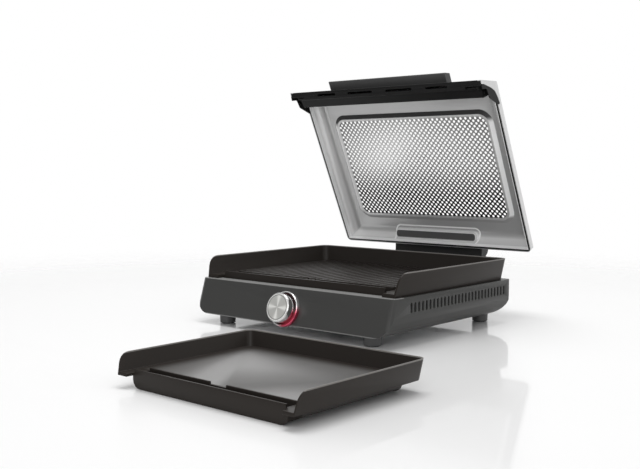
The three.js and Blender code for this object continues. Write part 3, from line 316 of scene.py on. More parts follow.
def smooth_step(tree, value, start, end):
    """Nought before start, one past end and a smooth rise between; start may be the larger."""
    node = tree.nodes.new("ShaderNodeMapRange")
    node.interpolation_type = "SMOOTHSTEP"
    node.inputs["From Min"].default_value = min(start, end)
    node.inputs["From Max"].default_value = max(start, end)
    node.inputs["To Min"].default_value = 0.0 if start < end else 1.0
    node.inputs["To Max"].default_value = 1.0 if start < end else 0.0
    tree.links.new(value, node.inputs["Value"])
    return node.outputs["Result"]


def fade_from(tree, value, edge, fade):
    """smooth_step whose start and end are given by their distances from an edge."""
    return smooth_step(tree, value, edge + fade[0], edge + fade[1])


def band(tree, value, edge, rise, fall):
    """One between a rise and a fall, each given by its distances from an edge."""
    return times(
        tree, fade_from(tree, value, edge, rise), fade_from(tree, value, edge, fall))


def mixed_colour(tree, factor, first, second):
    """first where the factor is nought and second where it is one."""
    node = tree.nodes.new("ShaderNodeMix")
    node.data_type = "RGBA"
    for label, colour in (("A", first), ("B", second)):
        if isinstance(colour, bpy.types.NodeSocket):
            tree.links.new(colour, node.inputs[label])
        else:
            node.inputs[label].default_value = (*colour, 1.0)
    tree.links.new(factor, node.inputs["Factor"])
    return node.outputs["Result"]


def length_of(tree, first, second):
    """Length of the vector with the two given parts."""
    flat = tree.nodes.new("ShaderNodeCombineXYZ")
    tree.links.new(first, flat.inputs["X"])
    tree.links.new(second, flat.inputs["Y"])
    node = tree.nodes.new("ShaderNodeVectorMath")
    node.operation = "LENGTH"
    tree.links.new(flat.outputs[0], node.inputs[0])
    return node.outputs["Value"]


def apart_from(tree, value, middle):
    """Distance of the value from the middle, on either side."""
    return math_node(tree, "ABSOLUTE", math_node(tree, "SUBTRACT", value, middle))


def past_rounded(tree, x, y, low, high, radius):
    """Distance outside a rectangle with rounded corners, below nought inside it."""
    deep = []
    for value, start, end in ((x, low.x, high.x), (y, low.y, high.y)):
        offset = apart_from(tree, value, (start + end) / 2)
        past = math_node(tree, "SUBTRACT", offset, (end - start) / 2 - radius)
        deep.append(math_node(tree, "MAXIMUM", past, 0.0))
    return math_node(tree, "SUBTRACT", length_of(tree, *deep), radius)


GRAIN_INPUTS = (
    ("Vector", "NodeSocketVector"),
    ("Colour", "NodeSocketColor"),
    ("Roughness", "NodeSocketFloat"),
    ("Grain", "NodeSocketFloat"),
    ("Mottle", "NodeSocketFloat"),
    ("Roughness Spread", "NodeSocketFloat"),
)
GRAIN_OUTPUTS = (
    ("Colour", "NodeSocketColor"),
    ("Roughness", "NodeSocketFloat"),
    ("Height", "NodeSocketFloat"),
)

FINE_SHARE = 0.6
DRIFT_SCALE = 14.0
BRUSHED_DRIFT_SCALE = 9.0
BRUSH_STRETCH = (0.02, 1.0, 1.0)


def link_grain(tree, given, made, tone_noise, rough_noise, height):
    """Sends out the given colour and roughness, each varied by its noise, and the height."""
    tone = spread_about(tree, 1.0, tone_noise, given.outputs["Mottle"])
    tree.links.new(scaled_colour(tree, given.outputs["Colour"], tone), made.inputs["Colour"])
    rough = spread_about(
        tree, given.outputs["Roughness"], rough_noise, given.outputs["Roughness Spread"])
    tree.links.new(rough, made.inputs["Roughness"])
    tree.links.new(height, made.inputs["Height"])


def grain_group():
    """Fine grain of paint, coating, plastic or rubber, with a slow drift of tone."""
    name = "Fine grain"
    if name in bpy.data.node_groups:
        return bpy.data.node_groups[name]
    tree, given, made = new_group(name, GRAIN_INPUTS, GRAIN_OUTPUTS)
    vector = given.outputs["Vector"]
    fine = noise_node(tree, vector, given.outputs["Grain"], detail=3.0, roughness=0.6)
    slow = noise_node(tree, vector, DRIFT_SCALE, detail=3.0)
    link_grain(tree, given, made, shared(tree, fine, slow, FINE_SHARE), slow, fine)
    return tree


def brushed_group():
    """Straight brushing: streaks that are long on the vector's first axis."""
    name = "Brushed streaks"
    if name in bpy.data.node_groups:
        return bpy.data.node_groups[name]
    tree, given, made = new_group(name, GRAIN_INPUTS, GRAIN_OUTPUTS)
    vector = given.outputs["Vector"]
    stretch = tree.nodes.new("ShaderNodeVectorMath")
    stretch.operation = "MULTIPLY"
    stretch.inputs[1].default_value = BRUSH_STRETCH
    tree.links.new(vector, stretch.inputs[0])
    streak = noise_node(
        tree, stretch.outputs[0], given.outputs["Grain"], detail=4.0, roughness=0.7)
    slow = noise_node(tree, vector, BRUSHED_DRIFT_SCALE, detail=2.0)
    link_grain(tree, given, made, streak, shared(tree, streak, slow, FINE_SHARE), streak)
    return tree


# Finishes
#
# A pair of lengths below is where a change of colour starts and where it ends, as distances from
# the edge that its comment names.

def finish(
        name, colour, *, roughness, metallic=0.0, grain, mottle, spread, depth,
        group=grain_group, **sockets):
    """A material whose colour, roughness and bump come from one of the groups above.

    grain is the noise's scale, mottle and spread are how far colour and roughness vary, depth
    is the height of the bump, and any further value is set on the shader's own socket.
    """
    if name in bpy.data.materials:
        return bpy.data.materials[name]
    material = bpy.data.materials.new(name)
    material.use_nodes = True
    tree = material.node_tree
    shader = tree.nodes["Principled BSDF"]
    shader.inputs["Metallic"].default_value = metallic
    for label, value in sockets.items():
        socket = label.replace("_", " ").title().replace("Ior", "IOR")
        shader.inputs[socket].default_value = value
    place = tree.nodes.new("ShaderNodeTexCoord")
    effect = tree.nodes.new("ShaderNodeGroup")
    effect.node_tree = group()
    effect.inputs["Colour"].default_value = (*colour, 1.0)
    effect.inputs["Roughness"].default_value = roughness
    effect.inputs["Grain"].default_value = grain
    effect.inputs["Mottle"].default_value = mottle
    effect.inputs["Roughness Spread"].default_value = spread
    bump = tree.nodes.new("ShaderNodeBump")
    bump.inputs["Strength"].default_value = 1.0
    bump.inputs["Distance"].default_value = depth
    tree.links.new(place.outputs["Object"], effect.inputs["Vector"])
    tree.links.new(effect.outputs["Colour"], shader.inputs["Base Color"])
    tree.links.new(effect.outputs["Roughness"], shader.inputs["Roughness"])
    tree.links.new(effect.outputs["Height"], bump.inputs["Height"])
    tree.links.new(bump.outputs["Normal"], shader.inputs["Normal"])
    return material


def recolour(material, colour):
    """Lets a colour that varies over the piece take the place of the finish's plain one."""
    tree = material.node_tree
    tree.links.new(colour, tree.nodes["Group"].inputs["Colour"])


# Painted highlights on the housing: a pale line along the front's top edge and one along the
# bottom edge.
TOP_EDGE_HIGHLIGHT_COLOUR = srgb(140, 140, 139)
FOOT_EDGE_HIGHLIGHT_COLOUR = srgb(122, 122, 121)
TOP_HIGHLIGHT_FADE = (-1.0 * MM, -0.5 * MM)  # from the housing's top
FRONT_HIGHLIGHT_FADE = (24 * MM, 22 * MM)  # from its front
FOOT_HIGHLIGHT_FADE = (1.6 * MM, 1.1 * MM)  # from its underside


def charcoal_paint():
    """Satin paint, with painted highlights along the front's top edge and the bottom edge."""
    material = finish(
        "housing_paint", colours().paint, roughness=0.34, grain=1400.0, mottle=0.16,
        spread=0.25, depth=0.01 * MM, specular_ior_level=0.18)
    tree = material.node_tree
    low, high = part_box("housing")
    _, y, z = local_axes(tree, Matrix())
    # edge marks the painted highlight along the front's top edge, and foot marks the one along the
    # bottom edge.
    edge = times(
        tree, fade_from(tree, z, high.z, TOP_HIGHLIGHT_FADE),
        fade_from(tree, y, high.y - HOUSING_DEPTH, FRONT_HIGHLIGHT_FADE))
    paint = mixed_colour(tree, edge, colours().paint, TOP_EDGE_HIGHLIGHT_COLOUR)
    foot = fade_from(tree, z, low.z, FOOT_HIGHLIGHT_FADE)
    recolour(material, mixed_colour(tree, foot, paint, FOOT_EDGE_HIGHLIGHT_COLOUR))
    return material


# The deck colour is a painted reflection of the pale studio on the griddle's cooking face.
DECK_REFLECTION_COLOUR = srgb(114, 113, 112)
CREST_COLOUR = srgb(92, 90, 88)
# The rim colour is a painted highlight along the top of each plate's walls.
RIM_HIGHLIGHT_COLOUR = srgb(122, 119, 116)
CREST_FADE = (-0.9 * MM, -0.3 * MM)  # from the tops of the ridges
RIM_HIGHLIGHT_RISE = (-1.7 * MM, -1.2 * MM)  # from a plate's rim
RIM_HIGHLIGHT_FALL = (0.9 * MM, 0.5 * MM)
DECK_GLOSS = 0.6
RIDGE_GLOSS = 0.4
FACE_FADE = 34 * MM  # width of the fade along the walls
FACE_SKIN = 1.5 * MM  # how far the cooking face's mask reaches past the box


def plate_coating():
    """Non-stick coating, glossy on the cooking faces, with a painted reflection on the griddle's
    deck, paler ridge tops and painted highlights along the rims.
    """
    if "plate_coating" in bpy.data.materials:
        return bpy.data.materials["plate_coating"]
    material = finish(
        "plate_coating", colours().coating, roughness=0.34, grain=900.0, mottle=0.22,
        spread=0.3, depth=0.01 * MM, specular_ior_level=0.14, coat_roughness=0.2)
    tree = material.node_tree
    axes = local_axes(tree, Matrix())
    z = axes[2]
    openings = frame["record"]["physics"]["openings"]
    boxes = {opening["name"]: opening["box_m"] for opening in openings}
    deck = cooking_face_mask(tree, axes, boxes["griddle_plate_bowl"])
    ridges = cooking_face_mask(tree, axes, boxes["grill_plate_bowl"])
    # Painted reflection: the griddle's deck is paler where it mirrors the pale studio.
    pale = mixed_colour(tree, deck, colours().coating, DECK_REFLECTION_COLOUR)
    ridge_top = boxes["grill_plate_bowl"][0][2]
    # Paler towards the tops of the ridges.
    crests = times(tree, ridges, fade_from(tree, z, ridge_top, CREST_FADE))
    pale = mixed_colour(tree, crests, pale, CREST_COLOUR)
    # Painted highlight along each plate's rim.
    for node in ("grill_plate", "griddle_plate"):
        plate_rim_highlight = band(tree, z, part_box(node)[1].z, RIM_HIGHLIGHT_RISE, RIM_HIGHLIGHT_FALL)
        pale = mixed_colour(tree, plate_rim_highlight, pale, RIM_HIGHLIGHT_COLOUR)
    recolour(material, pale)
    gloss = math_node(
        tree, "ADD", times(tree, deck, DECK_GLOSS), times(tree, ridges, RIDGE_GLOSS))
    tree.links.new(gloss, tree.nodes["Principled BSDF"].inputs["Coat Weight"])
    return material


def cooking_face_mask(tree, axes, box):
    """One on the cooking face under the box, fading towards the side and back walls."""
    x, y, z = axes
    low, high = box
    half = (high[0] - low[0]) / 2
    offset = apart_from(tree, x, (low[0] + high[0]) / 2)
    return times(
        tree,
        smooth_step(tree, offset, half, half - FACE_FADE),
        smooth_step(tree, y, high[1], high[1] - FACE_FADE),
        smooth_step(tree, y, low[1] - FACE_SKIN, low[1]),
        smooth_step(tree, z, low[2] + FACE_SKIN, low[2] + FACE_SKIN / 2))


def satin_steel():
    return finish(
        "lid_steel", colours().steel, roughness=0.34, metallic=0.62, grain=900.0, mottle=0.1,
        spread=0.3, depth=0.01 * MM, group=brushed_group)


LINER_METALLIC = 0.38
BRIGHT_METALLIC_LOSS = 0.34
SLOPE_LOSS_SHARE = 0.4
# In the liner, the slope colour and the bright colour are painted highlights, and the wall shade
# colour is painted shade.
LINER_COLOUR = srgb(198, 198, 198)
SLOPE_HIGHLIGHT_COLOUR = srgb(238, 238, 238)
PAINTED_HIGHLIGHT_COLOUR = srgb(255, 255, 255)
WALL_SHADE_COLOUR = srgb(54, 54, 54)
WALL_RISE = (1.0 * MM, 2.0 * MM)  # from the screen's outline
WALL_FALL = (9.5 * MM, 8.5 * MM)
WALL_SHADE_ABOVE = (16 * MM, 4 * MM)  # from the screen's upper edge
WALL_SHADE_BELOW = (-10 * MM, -2 * MM)  # from its lower edge
WALL_BELOW_SHARE = 0.7
SLOPE_FADE = (-3 * MM, -8 * MM)  # from the liner's highest point, with the lid closed
RIM_STRIP_FADE = (10 * MM, 6 * MM)  # from its lowest point
PAD_FOOT_RISE = (3.2 * MM, 4.2 * MM)  # from the fixing plate's outline
PAD_FOOT_FALL = (7.4 * MM, 6.4 * MM)
PAD_CORNER = 6 * MM  # radius of the fixing plate's corners


def liner_steel(place):
    """Steel inside the lid, with painted highlights on the window's side walls, the rim, the pad's
    foot and the upper slope, and painted shade on the window's upper and lower walls.
    """
    material = finish(
        "liner_steel", colours().steel, roughness=0.26, metallic=LINER_METALLIC, grain=900.0,
        mottle=0.1, spread=0.3, depth=0.01 * MM, group=brushed_group)
    tree = material.node_tree
    x, y, z = local_axes(tree, place)
    low, high = box_in("mesh_screen", place)
    past = past_rounded(tree, x, y, low, high, sizes().screen_round)
    # Painted highlight on the window's side walls, turning to painted shade on its upper and lower
    # walls.
    wall = band(tree, past, 0.0, WALL_RISE, WALL_FALL)
    above = fade_from(tree, y, low.y, WALL_SHADE_ABOVE)
    below = fade_from(tree, y, high.y, WALL_SHADE_BELOW)
    shade = largest(tree, above, times(tree, below, WALL_BELOW_SHARE))
    wall_colour = mixed_colour(tree, shade, PAINTED_HIGHLIGHT_COLOUR, WALL_SHADE_COLOUR)
    low, high = box_in("lid_liner", place)
    # Painted highlights on the upper slope, along the rim and round the pad's foot; these bright
    # parts also lose some metallic.
    slope_highlight = fade_from(tree, z, high.z, SLOPE_FADE)
    steel = mixed_colour(tree, slope_highlight, LINER_COLOUR, SLOPE_HIGHLIGHT_COLOUR)
    liner_rim_highlight = fade_from(tree, z, low.z, RIM_STRIP_FADE)
    steel = mixed_colour(tree, liner_rim_highlight, steel, PAINTED_HIGHLIGHT_COLOUR)
    beside = past_rounded(tree, x, y, *box_in("fixing_plate", place), PAD_CORNER)
    pad_foot_highlight = band(tree, beside, 0.0, PAD_FOOT_RISE, PAD_FOOT_FALL)
    steel = mixed_colour(tree, pad_foot_highlight, steel, PAINTED_HIGHLIGHT_COLOUR)
    recolour(material, mixed_colour(tree, wall, steel, wall_colour))
    plain = largest(tree, wall, liner_rim_highlight, times(tree, slope_highlight, SLOPE_LOSS_SHARE), pad_foot_highlight)
    metal = math_node(
        tree, "SUBTRACT", LINER_METALLIC, times(tree, plain, BRIGHT_METALLIC_LOSS))
    tree.links.new(metal, tree.nodes["Principled BSDF"].inputs["Metallic"])
    return material


# Painted reflections on the screen: a bright spot above the middle and darkness along the lower
# edge.
REFLECTION_SPOT_COLOUR = srgb(240, 240, 240)
SCREEN_COLOUR = srgb(116, 116, 116)
DARK_REFLECTION_COLOUR = srgb(34, 34, 34)
SPOT_ACROSS = 34 * MM  # from the lid's middle
SPOT_DOWN = 85 * MM  # from the screen's upper edge
SPOT_SQUEEZE = (0.9, 1.2)  # across and along, as the fade is a share of the screen's sides
SPOT_FADE = (0.05, 0.75)
SCREEN_FOOT = 35 * MM  # from its lower edge


def screen_steel(place):
    """Steel of the screen, with a painted reflection as a bright spot above its middle and a
    painted dark reflection along its lower edge.
    """
    material = finish(
        "screen_steel", colours().steel, roughness=0.3, metallic=0.6, grain=700.0, mottle=0.1,
        spread=0.3, depth=0.01 * MM)
    tree = material.node_tree
    x, y, _ = local_axes(tree, place)
    low, high = box_in("mesh_screen", place)
    spot = low.y + SPOT_DOWN
    across = times(
        tree, math_node(tree, "SUBTRACT", x, SPOT_ACROSS), SPOT_SQUEEZE[0] / (high.x - low.x))
    along = times(
        tree, math_node(tree, "SUBTRACT", y, spot), SPOT_SQUEEZE[1] / (high.y - low.y))
    away = smooth_step(tree, length_of(tree, across, along), *SPOT_FADE)
    # Painted reflection: the bright spot fades to the plain screen colour, then to darkness
    # towards the lower edge.
    steel = mixed_colour(tree, away, REFLECTION_SPOT_COLOUR, SCREEN_COLOUR)
    below = smooth_step(tree, y, spot, high.y - SCREEN_FOOT)
    recolour(material, mixed_colour(tree, below, steel, DARK_REFLECTION_COLOUR))
    return material


def bare_steel():
    return finish(
        "mill_steel", srgb(165, 167, 170), roughness=0.35, metallic=1.0, grain=600.0,
        mottle=0.12, spread=0.35, depth=0.01 * MM, group=brushed_group)


def black_plastic():
    return finish(
        "moulded_plastic", colours().plastic, roughness=0.5, grain=1800.0, mottle=0.2,
        spread=0.2, depth=0.02 * MM, specular_ior_level=0.2)


def hinge_plastic():
    return finish(
        "hinge_plastic", colours().hinge, roughness=0.45, grain=1800.0, mottle=0.2,
        spread=0.2, depth=0.02 * MM, specular_ior_level=0.3)


# Painted highlight along the fixing plate's outer edge.
PAD_EDGE_HIGHLIGHT_COLOUR = srgb(235, 235, 235)
PAD_EDGE_HIGHLIGHT_FADE = (-1.2 * MM, -0.7 * MM)  # from the fixing plate's outline


def pad_plastic(place):
    """Moulded plastic with a painted highlight along its outer edge."""
    material = finish(
        "pad_plastic", colours().pad, roughness=0.4, grain=1800.0, mottle=0.15, spread=0.2,
        depth=0.02 * MM, specular_ior_level=0.4)
    tree = material.node_tree
    x, y, _ = local_axes(tree, place)
    past = past_rounded(tree, x, y, *box_in("fixing_plate", place), PAD_CORNER)
    # edge is where the painted highlight lies.
    edge = fade_from(tree, past, 0.0, PAD_EDGE_HIGHLIGHT_FADE)
    recolour(material, mixed_colour(tree, edge, colours().pad, PAD_EDGE_HIGHLIGHT_COLOUR))
    return material


def grip_plastic():
    return finish(
        "grip_plastic", colours().grip, roughness=0.5, grain=1800.0, mottle=0.2, spread=0.2,
        depth=0.02 * MM, specular_ior_level=0.3)


def foot_plastic():
    return finish(
        "foot_plastic", srgb(86, 86, 86), roughness=0.45, grain=1800.0, mottle=0.15,
        spread=0.2, depth=0.03 * MM)


def black_rubber():
    return finish(
        "black_rubber", srgb(26, 26, 26), roughness=0.7, grain=1200.0, mottle=0.25,
        spread=0.15, depth=0.05 * MM)


def chrome():
    return finish(
        "bright_chrome", colours().chrome, roughness=0.1, metallic=1.0, grain=300.0,
        mottle=0.04, spread=0.4, depth=0.002 * MM)


def ceramic():
    return finish(
        "white_steatite", srgb(226, 220, 208), roughness=0.4, grain=500.0, mottle=0.08,
        spread=0.2, depth=0.02 * MM)


def element_sheath():
    return finish(
        "element_sheath", srgb(92, 84, 78), roughness=0.5, metallic=0.8, grain=500.0,
        mottle=0.35, spread=0.3, depth=0.03 * MM)


# The four fans and the cap's edge are painted highlights of the spun steel.
FAN_COUNT = 4.0
FAN_SHARPNESS = 4.0
FAN_HIGHLIGHT_COLOUR = srgb(255, 255, 251)
FACE_COLOUR = srgb(202, 202, 198)
SPUN_SCALE = 3500.0
SPUN_DEPTH = 0.5
GROOVE_SHADE_COLOUR = srgb(140, 140, 137)
CAP_EDGE_HIGHLIGHT_COLOUR = srgb(250, 250, 248)
GROOVE_RISE = (0.84, 0.87)  # shares of the cap's radius, as are the next two
GROOVE_FALL = (0.93, 0.90)
CAP_EDGE = (0.91, 0.94)


def spun_steel(place):
    """Face of the knob: spun rings, four fans of painted highlight, painted shade in a groove and
    a painted highlight on the rim.
    """
    material = finish(
        "spun_steel", colours().steel, roughness=0.36, metallic=0.3, grain=400.0, mottle=0.04,
        spread=0.2, depth=0.002 * MM)
    tree = material.node_tree
    x, y, _ = local_axes(tree, place)
    low, high = box_in("knob_cap", place)
    radius = (high.x - low.x) / 2
    reach = length_of(tree, x, y)

    def cap_step(shares):
        return smooth_step(tree, reach, radius * shares[0], radius * shares[1])

    angle = math_node(tree, "ARCTAN2", y, x)
    wave = math_node(tree, "COSINE", times(tree, angle, FAN_COUNT))
    wave = times(tree, math_node(tree, "ADD", wave, 1.0), 0.5)
    # Painted highlight in four fans round the face.
    fan_highlights = math_node(tree, "POWER", wave, FAN_SHARPNESS)
    ring = tree.nodes.new("ShaderNodeCombineXYZ")
    tree.links.new(reach, ring.inputs["X"])
    rings = noise_node(tree, ring.outputs[0], SPUN_SCALE, detail=3.0, roughness=0.7)
    rings = times(tree, math_node(tree, "SUBTRACT", rings, 0.5), SPUN_DEPTH)
    face = mixed_colour(tree, math_node(tree, "ADD", fan_highlights, rings), FACE_COLOUR, FAN_HIGHLIGHT_COLOUR)
    # Painted shade in the groove just inside the cap's rim.
    groove_shade = times(tree, cap_step(GROOVE_RISE), cap_step(GROOVE_FALL))
    face = mixed_colour(tree, groove_shade, face, GROOVE_SHADE_COLOUR)
    recolour(material, mixed_colour(tree, cap_step(CAP_EDGE), face, CAP_EDGE_HIGHLIGHT_COLOUR))
    return material


# Painted reflection of the ring light on the bezel's lower right.
PINK_REFLECTION_COLOUR = srgb(214, 84, 110)
PINK_REFLECTION_FADE = (16 * MM, 34 * MM)  # rightwards plus downwards from the dial's middle
RING_LIT = (20 * MM, 36 * MM)  # the same way
RING_STRENGTH = 0.28


def lower_right(tree, place, fade):
    """One on the lower right of the dial and nought on the rest, with the given fade."""
    x, y, _ = local_axes(tree, place)
    return smooth_step(tree, math_node(tree, "SUBTRACT", x, y), *fade)


def bezel_chrome(place):
    """Chrome of the outer ring, with a painted pink reflection of the ring light beside it on the
    lower right.
    """
    material = finish(
        "bezel_chrome", colours().chrome, roughness=0.14, metallic=0.85, grain=300.0,
        mottle=0.04, spread=0.4, depth=0.002 * MM)
    tree = material.node_tree
    lit = lower_right(tree, place, PINK_REFLECTION_FADE)
    recolour(material, mixed_colour(tree, lit, colours().chrome, PINK_REFLECTION_COLOUR))
    return material


def ring_light(place):
    """Dark red ring, lit only on the lower right of the dial."""
    material = finish(
        "ring_light", colours().lens, roughness=0.25, grain=400.0, mottle=0.1, spread=0.2,
        depth=0.01 * MM, emission_strength=RING_STRENGTH)
    tree = material.node_tree
    lit = lower_right(tree, place, RING_LIT)
    glow = mixed_colour(tree, lit, (0.0, 0.0, 0.0), colours().light)
    tree.links.new(glow, tree.nodes["Principled BSDF"].inputs["Emission Color"])
    return material


# Making pieces

MERGE = 0.001 * MM
FLAT_ANGLE = math.radians(0.5)
SHARP_ANGLE = math.radians(24)


def body_of(node):
    return frame["nodes"][node]["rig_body"]


def new_piece(name, bm, material, body):
    """A finished mesh object from a bmesh, riding on a body."""
    mesh = bpy.data.meshes.new(name)
    bm.to_mesh(mesh)
    bm.free()
    mesh.materials.clear()
    mesh.materials.append(material)
    mesh.shade_smooth()
    mesh.set_sharp_from_angle(angle=SHARP_ANGLE)
    piece = bpy.data.objects.new(name, mesh)
    bpy.context.scene.collection.objects.link(piece)
    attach(piece, body)
    return piece


def bevel_sharp(bm, width, segments):
    sharp = [
        e for e in bm.edges
        if len(e.link_faces) == 2 and e.calc_face_angle(0.0) > SHARP_ANGLE]
    bmesh.ops.bevel(
        bm, geom=sharp, offset=width, offset_type="OFFSET", segments=segments, profile=0.5,
        affect="EDGES", clamp_overlap=True, material=-1)


def dress(node, width, material, segments=2):
    """The CAD node's own form with its edges rounded, shown in the node's place."""
    bm = bmesh.new()
    bm.from_mesh(frame["nodes"][node].data)
    bmesh.ops.remove_doubles(bm, verts=bm.verts, dist=MERGE)
    bmesh.ops.dissolve_limit(
        bm, angle_limit=FLAT_ANGLE, use_dissolve_boundaries=False, verts=bm.verts, edges=bm.edges)
    bevel_sharp(bm, width, segments)
    piece = new_piece(node + "_dressed", bm, material, body_of(node))
    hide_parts(node)
    return piece


# Studio

class GRILL_OT_stage(Operator):
    """Make the floor, the lamps, the white surround and the camera"""

    bl_idname = "grill.stage"
    bl_label = "Studio"

    def execute(self, context):
        settings = context.scene.grill_studio
        low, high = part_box("housing")
        under_front = Vector(((low.x + high.x) / 2, high.y - HOUSING_DEPTH, 0.0))
        make_floor(settings)
        make_world(settings)
        make_lamps(settings, under_front)
        make_camera(settings, under_front)
        context.scene.view_settings.view_transform = "Standard"
        return {"FINISHED"}


FLOOR_DROP = 0.2 * MM
FLOOR_ROUGHNESS = 0.3
FLOOR_SPECULAR = 0.06
FLOOR_FADE = (0.7, 1.7)  # distances from the model's middle
POLISH_ROUGHNESS = 0.05
POLISH_IOR = 1.4
POLISH_FADE = (-0.5, -0.34)  # on the Y axis
POLISH_LEAST = 0.05
POLISH_RISE = 0.65
DARK_DIRECTION = (-0.68, -0.65, 0.2)
DARK_FADE = (0.45, 0.85)  # cosines of the angle from that direction

TOP_SIZE = (1.3, 1.3)
KEY_SIZE = (1.0, 1.6)

# Places, counted from the point on the floor under the middle of the housing's front
LAMP_AIM = (0.05, 0.05, 0.1)
TOP_PLACE = (0.0, 0.2, 2.2)
KEY_PLACE = (1.5, -1.9, 1.0)
CAMERA_PLACE = (1027.5 * MM, -1097.0 * MM, 272.6 * MM)
CAMERA_TURN = (math.radians(85.793), 0.0, math.radians(41.306))


def make_floor(settings):
    bm = bmesh.new()
    bmesh.ops.create_grid(bm, x_segments=1, y_segments=1, size=settings.floor_reach)
    bmesh.ops.translate(bm, verts=bm.verts, vec=(0, 0, -FLOOR_DROP))
    mesh = bpy.data.meshes.new("floor")
    bm.to_mesh(mesh)
    bm.free()
    floor = bpy.data.objects.new("floor", mesh)
    bpy.context.scene.collection.objects.link(floor)
    mesh.materials.append(floor_material(settings))


def floor_material(settings):
    """Pale polished floor, duller at the very front, that fades into the white surround."""
    material = bpy.data.materials.new("studio_floor")
    material.use_nodes = True
    tree = material.node_tree
    shader = tree.nodes["Principled BSDF"]
    shader.inputs["Base Color"].default_value = (*settings.floor_colour, 1.0)
    shader.inputs["Roughness"].default_value = FLOOR_ROUGHNESS
    shader.inputs["Specular IOR Level"].default_value = FLOOR_SPECULAR
    shader.inputs["Coat Roughness"].default_value = POLISH_ROUGHNESS
    shader.inputs["Coat IOR"].default_value = POLISH_IOR
    place = tree.nodes.new("ShaderNodeTexCoord")
    reach = tree.nodes.new("ShaderNodeVectorMath")
    reach.operation = "LENGTH"
    tree.links.new(place.outputs["Object"], reach.inputs[0])
    fade = smooth_step(tree, reach.outputs["Value"], *FLOOR_FADE)
    clear = tree.nodes.new("ShaderNodeBsdfTransparent")
    mix = tree.nodes.new("ShaderNodeMixShader")
    tree.links.new(fade, mix.inputs["Fac"])
    tree.links.new(shader.outputs[0], mix.inputs[1])
    tree.links.new(clear.outputs[0], mix.inputs[2])
    tree.links.new(mix.outputs[0], tree.nodes["Material Output"].inputs["Surface"])
    _, y, _ = local_axes(tree, Matrix())
    polish = times(tree, smooth_step(tree, y, *POLISH_FADE), POLISH_RISE)
    polish = math_node(tree, "ADD", polish, POLISH_LEAST)
    tree.links.new(polish, shader.inputs["Coat Weight"])
    return material


def make_world(settings):
    """White to the camera and in reflections, and a soft even light on everything else."""
    world = bpy.data.worlds.new("studio")
    bpy.context.scene.world = world
    world.use_nodes = True
    tree = world.node_tree
    background = tree.nodes["Background"]
    background.inputs["Color"].default_value = (1.0, 1.0, 1.0, 1.0)
    rays = tree.nodes.new("ShaderNodeLightPath")
    glossy = rays.outputs["Is Glossy Ray"]
    seen = largest(
        tree, rays.outputs["Is Camera Ray"], glossy, rays.outputs["Is Transmission Ray"])
    lift = times(tree, seen, 1.0 - settings.ambient)
    strength = math_node(tree, "ADD", lift, settings.ambient)
    shade = times(tree, dark_side(tree), glossy, settings.dark_share)
    kept = math_node(tree, "SUBTRACT", 1.0, shade)
    tree.links.new(times(tree, strength, kept), background.inputs["Strength"])


def dark_side(tree):
    """One towards the unlit front left of the studio, fading to nothing elsewhere."""
    place = tree.nodes.new("ShaderNodeTexCoord")
    nearness = tree.nodes.new("ShaderNodeVectorMath")
    nearness.operation = "DOT_PRODUCT"
    tree.links.new(place.outputs["Generated"], nearness.inputs[0])
    nearness.inputs[1].default_value = Vector(DARK_DIRECTION).normalized()
    return smooth_step(tree, nearness.outputs["Value"], *DARK_FADE)


def make_lamp(name, power, size, place, target):
    data = bpy.data.lights.new(name, "AREA")
    data.shape = "RECTANGLE"
    data.size, data.size_y = size
    data.energy = power
    lamp = bpy.data.objects.new(name, data)
    lamp.location = place
    lamp.rotation_euler = (target - place).to_track_quat("-Z", "Y").to_euler()
    bpy.context.scene.collection.objects.link(lamp)


def make_lamps(settings, under_front):
    aim = under_front + Vector(LAMP_AIM)
    for name, power, size, place in (
            ("top_softbox", settings.top_power, TOP_SIZE, TOP_PLACE),
            ("key_softbox", settings.key_power, KEY_SIZE, KEY_PLACE)):
        make_lamp(name, power, size, under_front + Vector(place), aim)


def make_camera(settings, under_front):
    data = bpy.data.cameras.new("camera")
    data.lens = settings.lens
    data.sensor_width = 36.0
    data.sensor_fit = "HORIZONTAL"
    data.clip_start = 0.01
    camera = bpy.data.objects.new("camera", data)
    camera.location = under_front + Vector(CAMERA_PLACE)
    camera.rotation_euler = CAMERA_TURN
    bpy.context.scene.collection.objects.link(camera)
    bpy.context.scene.camera = camera


# Pieces

class GRILL_OT_housing(Operator):
    """Finish the painted housing, its bottom cover, feet and cord gland"""

    bl_idname = "grill.housing"
    bl_label = "Housing and feet"

    def execute(self, context):
        size = sizes()
        dress("housing", size.paint_round, charcoal_paint())
        dress("bottom_cover", size.sheet_round, bare_steel())
        dress("cord_gland", size.sheet_round, black_rubber())
        for end in ("front", "rear"):
            for side in ("left", "right"):
                dress(f"foot_{end}_{side}", size.sheet_round, foot_plastic())
                dress(f"foot_pad_{end}_{side}", size.sheet_round, black_rubber())
        return {"FINISHED"}


class GRILL_OT_plates(Operator):
    """Finish the ridged grill plate and the flat griddle plate"""

    bl_idname = "grill.plates"
    bl_label = "Cooking plates"

    def execute(self, context):
        for node in ("grill_plate", "griddle_plate"):
            dress(node, sizes().cast_round, plate_coating(), segments=3)
        return {"FINISHED"}


class GRILL_OT_heating(Operator):
    """Finish the heating element and the pieces round it"""

    bl_idname = "grill.heating"
    bl_label = "Heating"

    def execute(self, context):
        width = sizes().sheet_round
        dress("heating_element", width, element_sheath())
        for node in (
                "heat_reflector", "element_rail_left", "element_rail_right",
                "temperature_probe"):
            dress(node, width, bare_steel())
        for node in ("terminal_block_front", "terminal_block_rear", "thermal_cutout"):
            dress(node, width, ceramic())
        return {"FINISHED"}


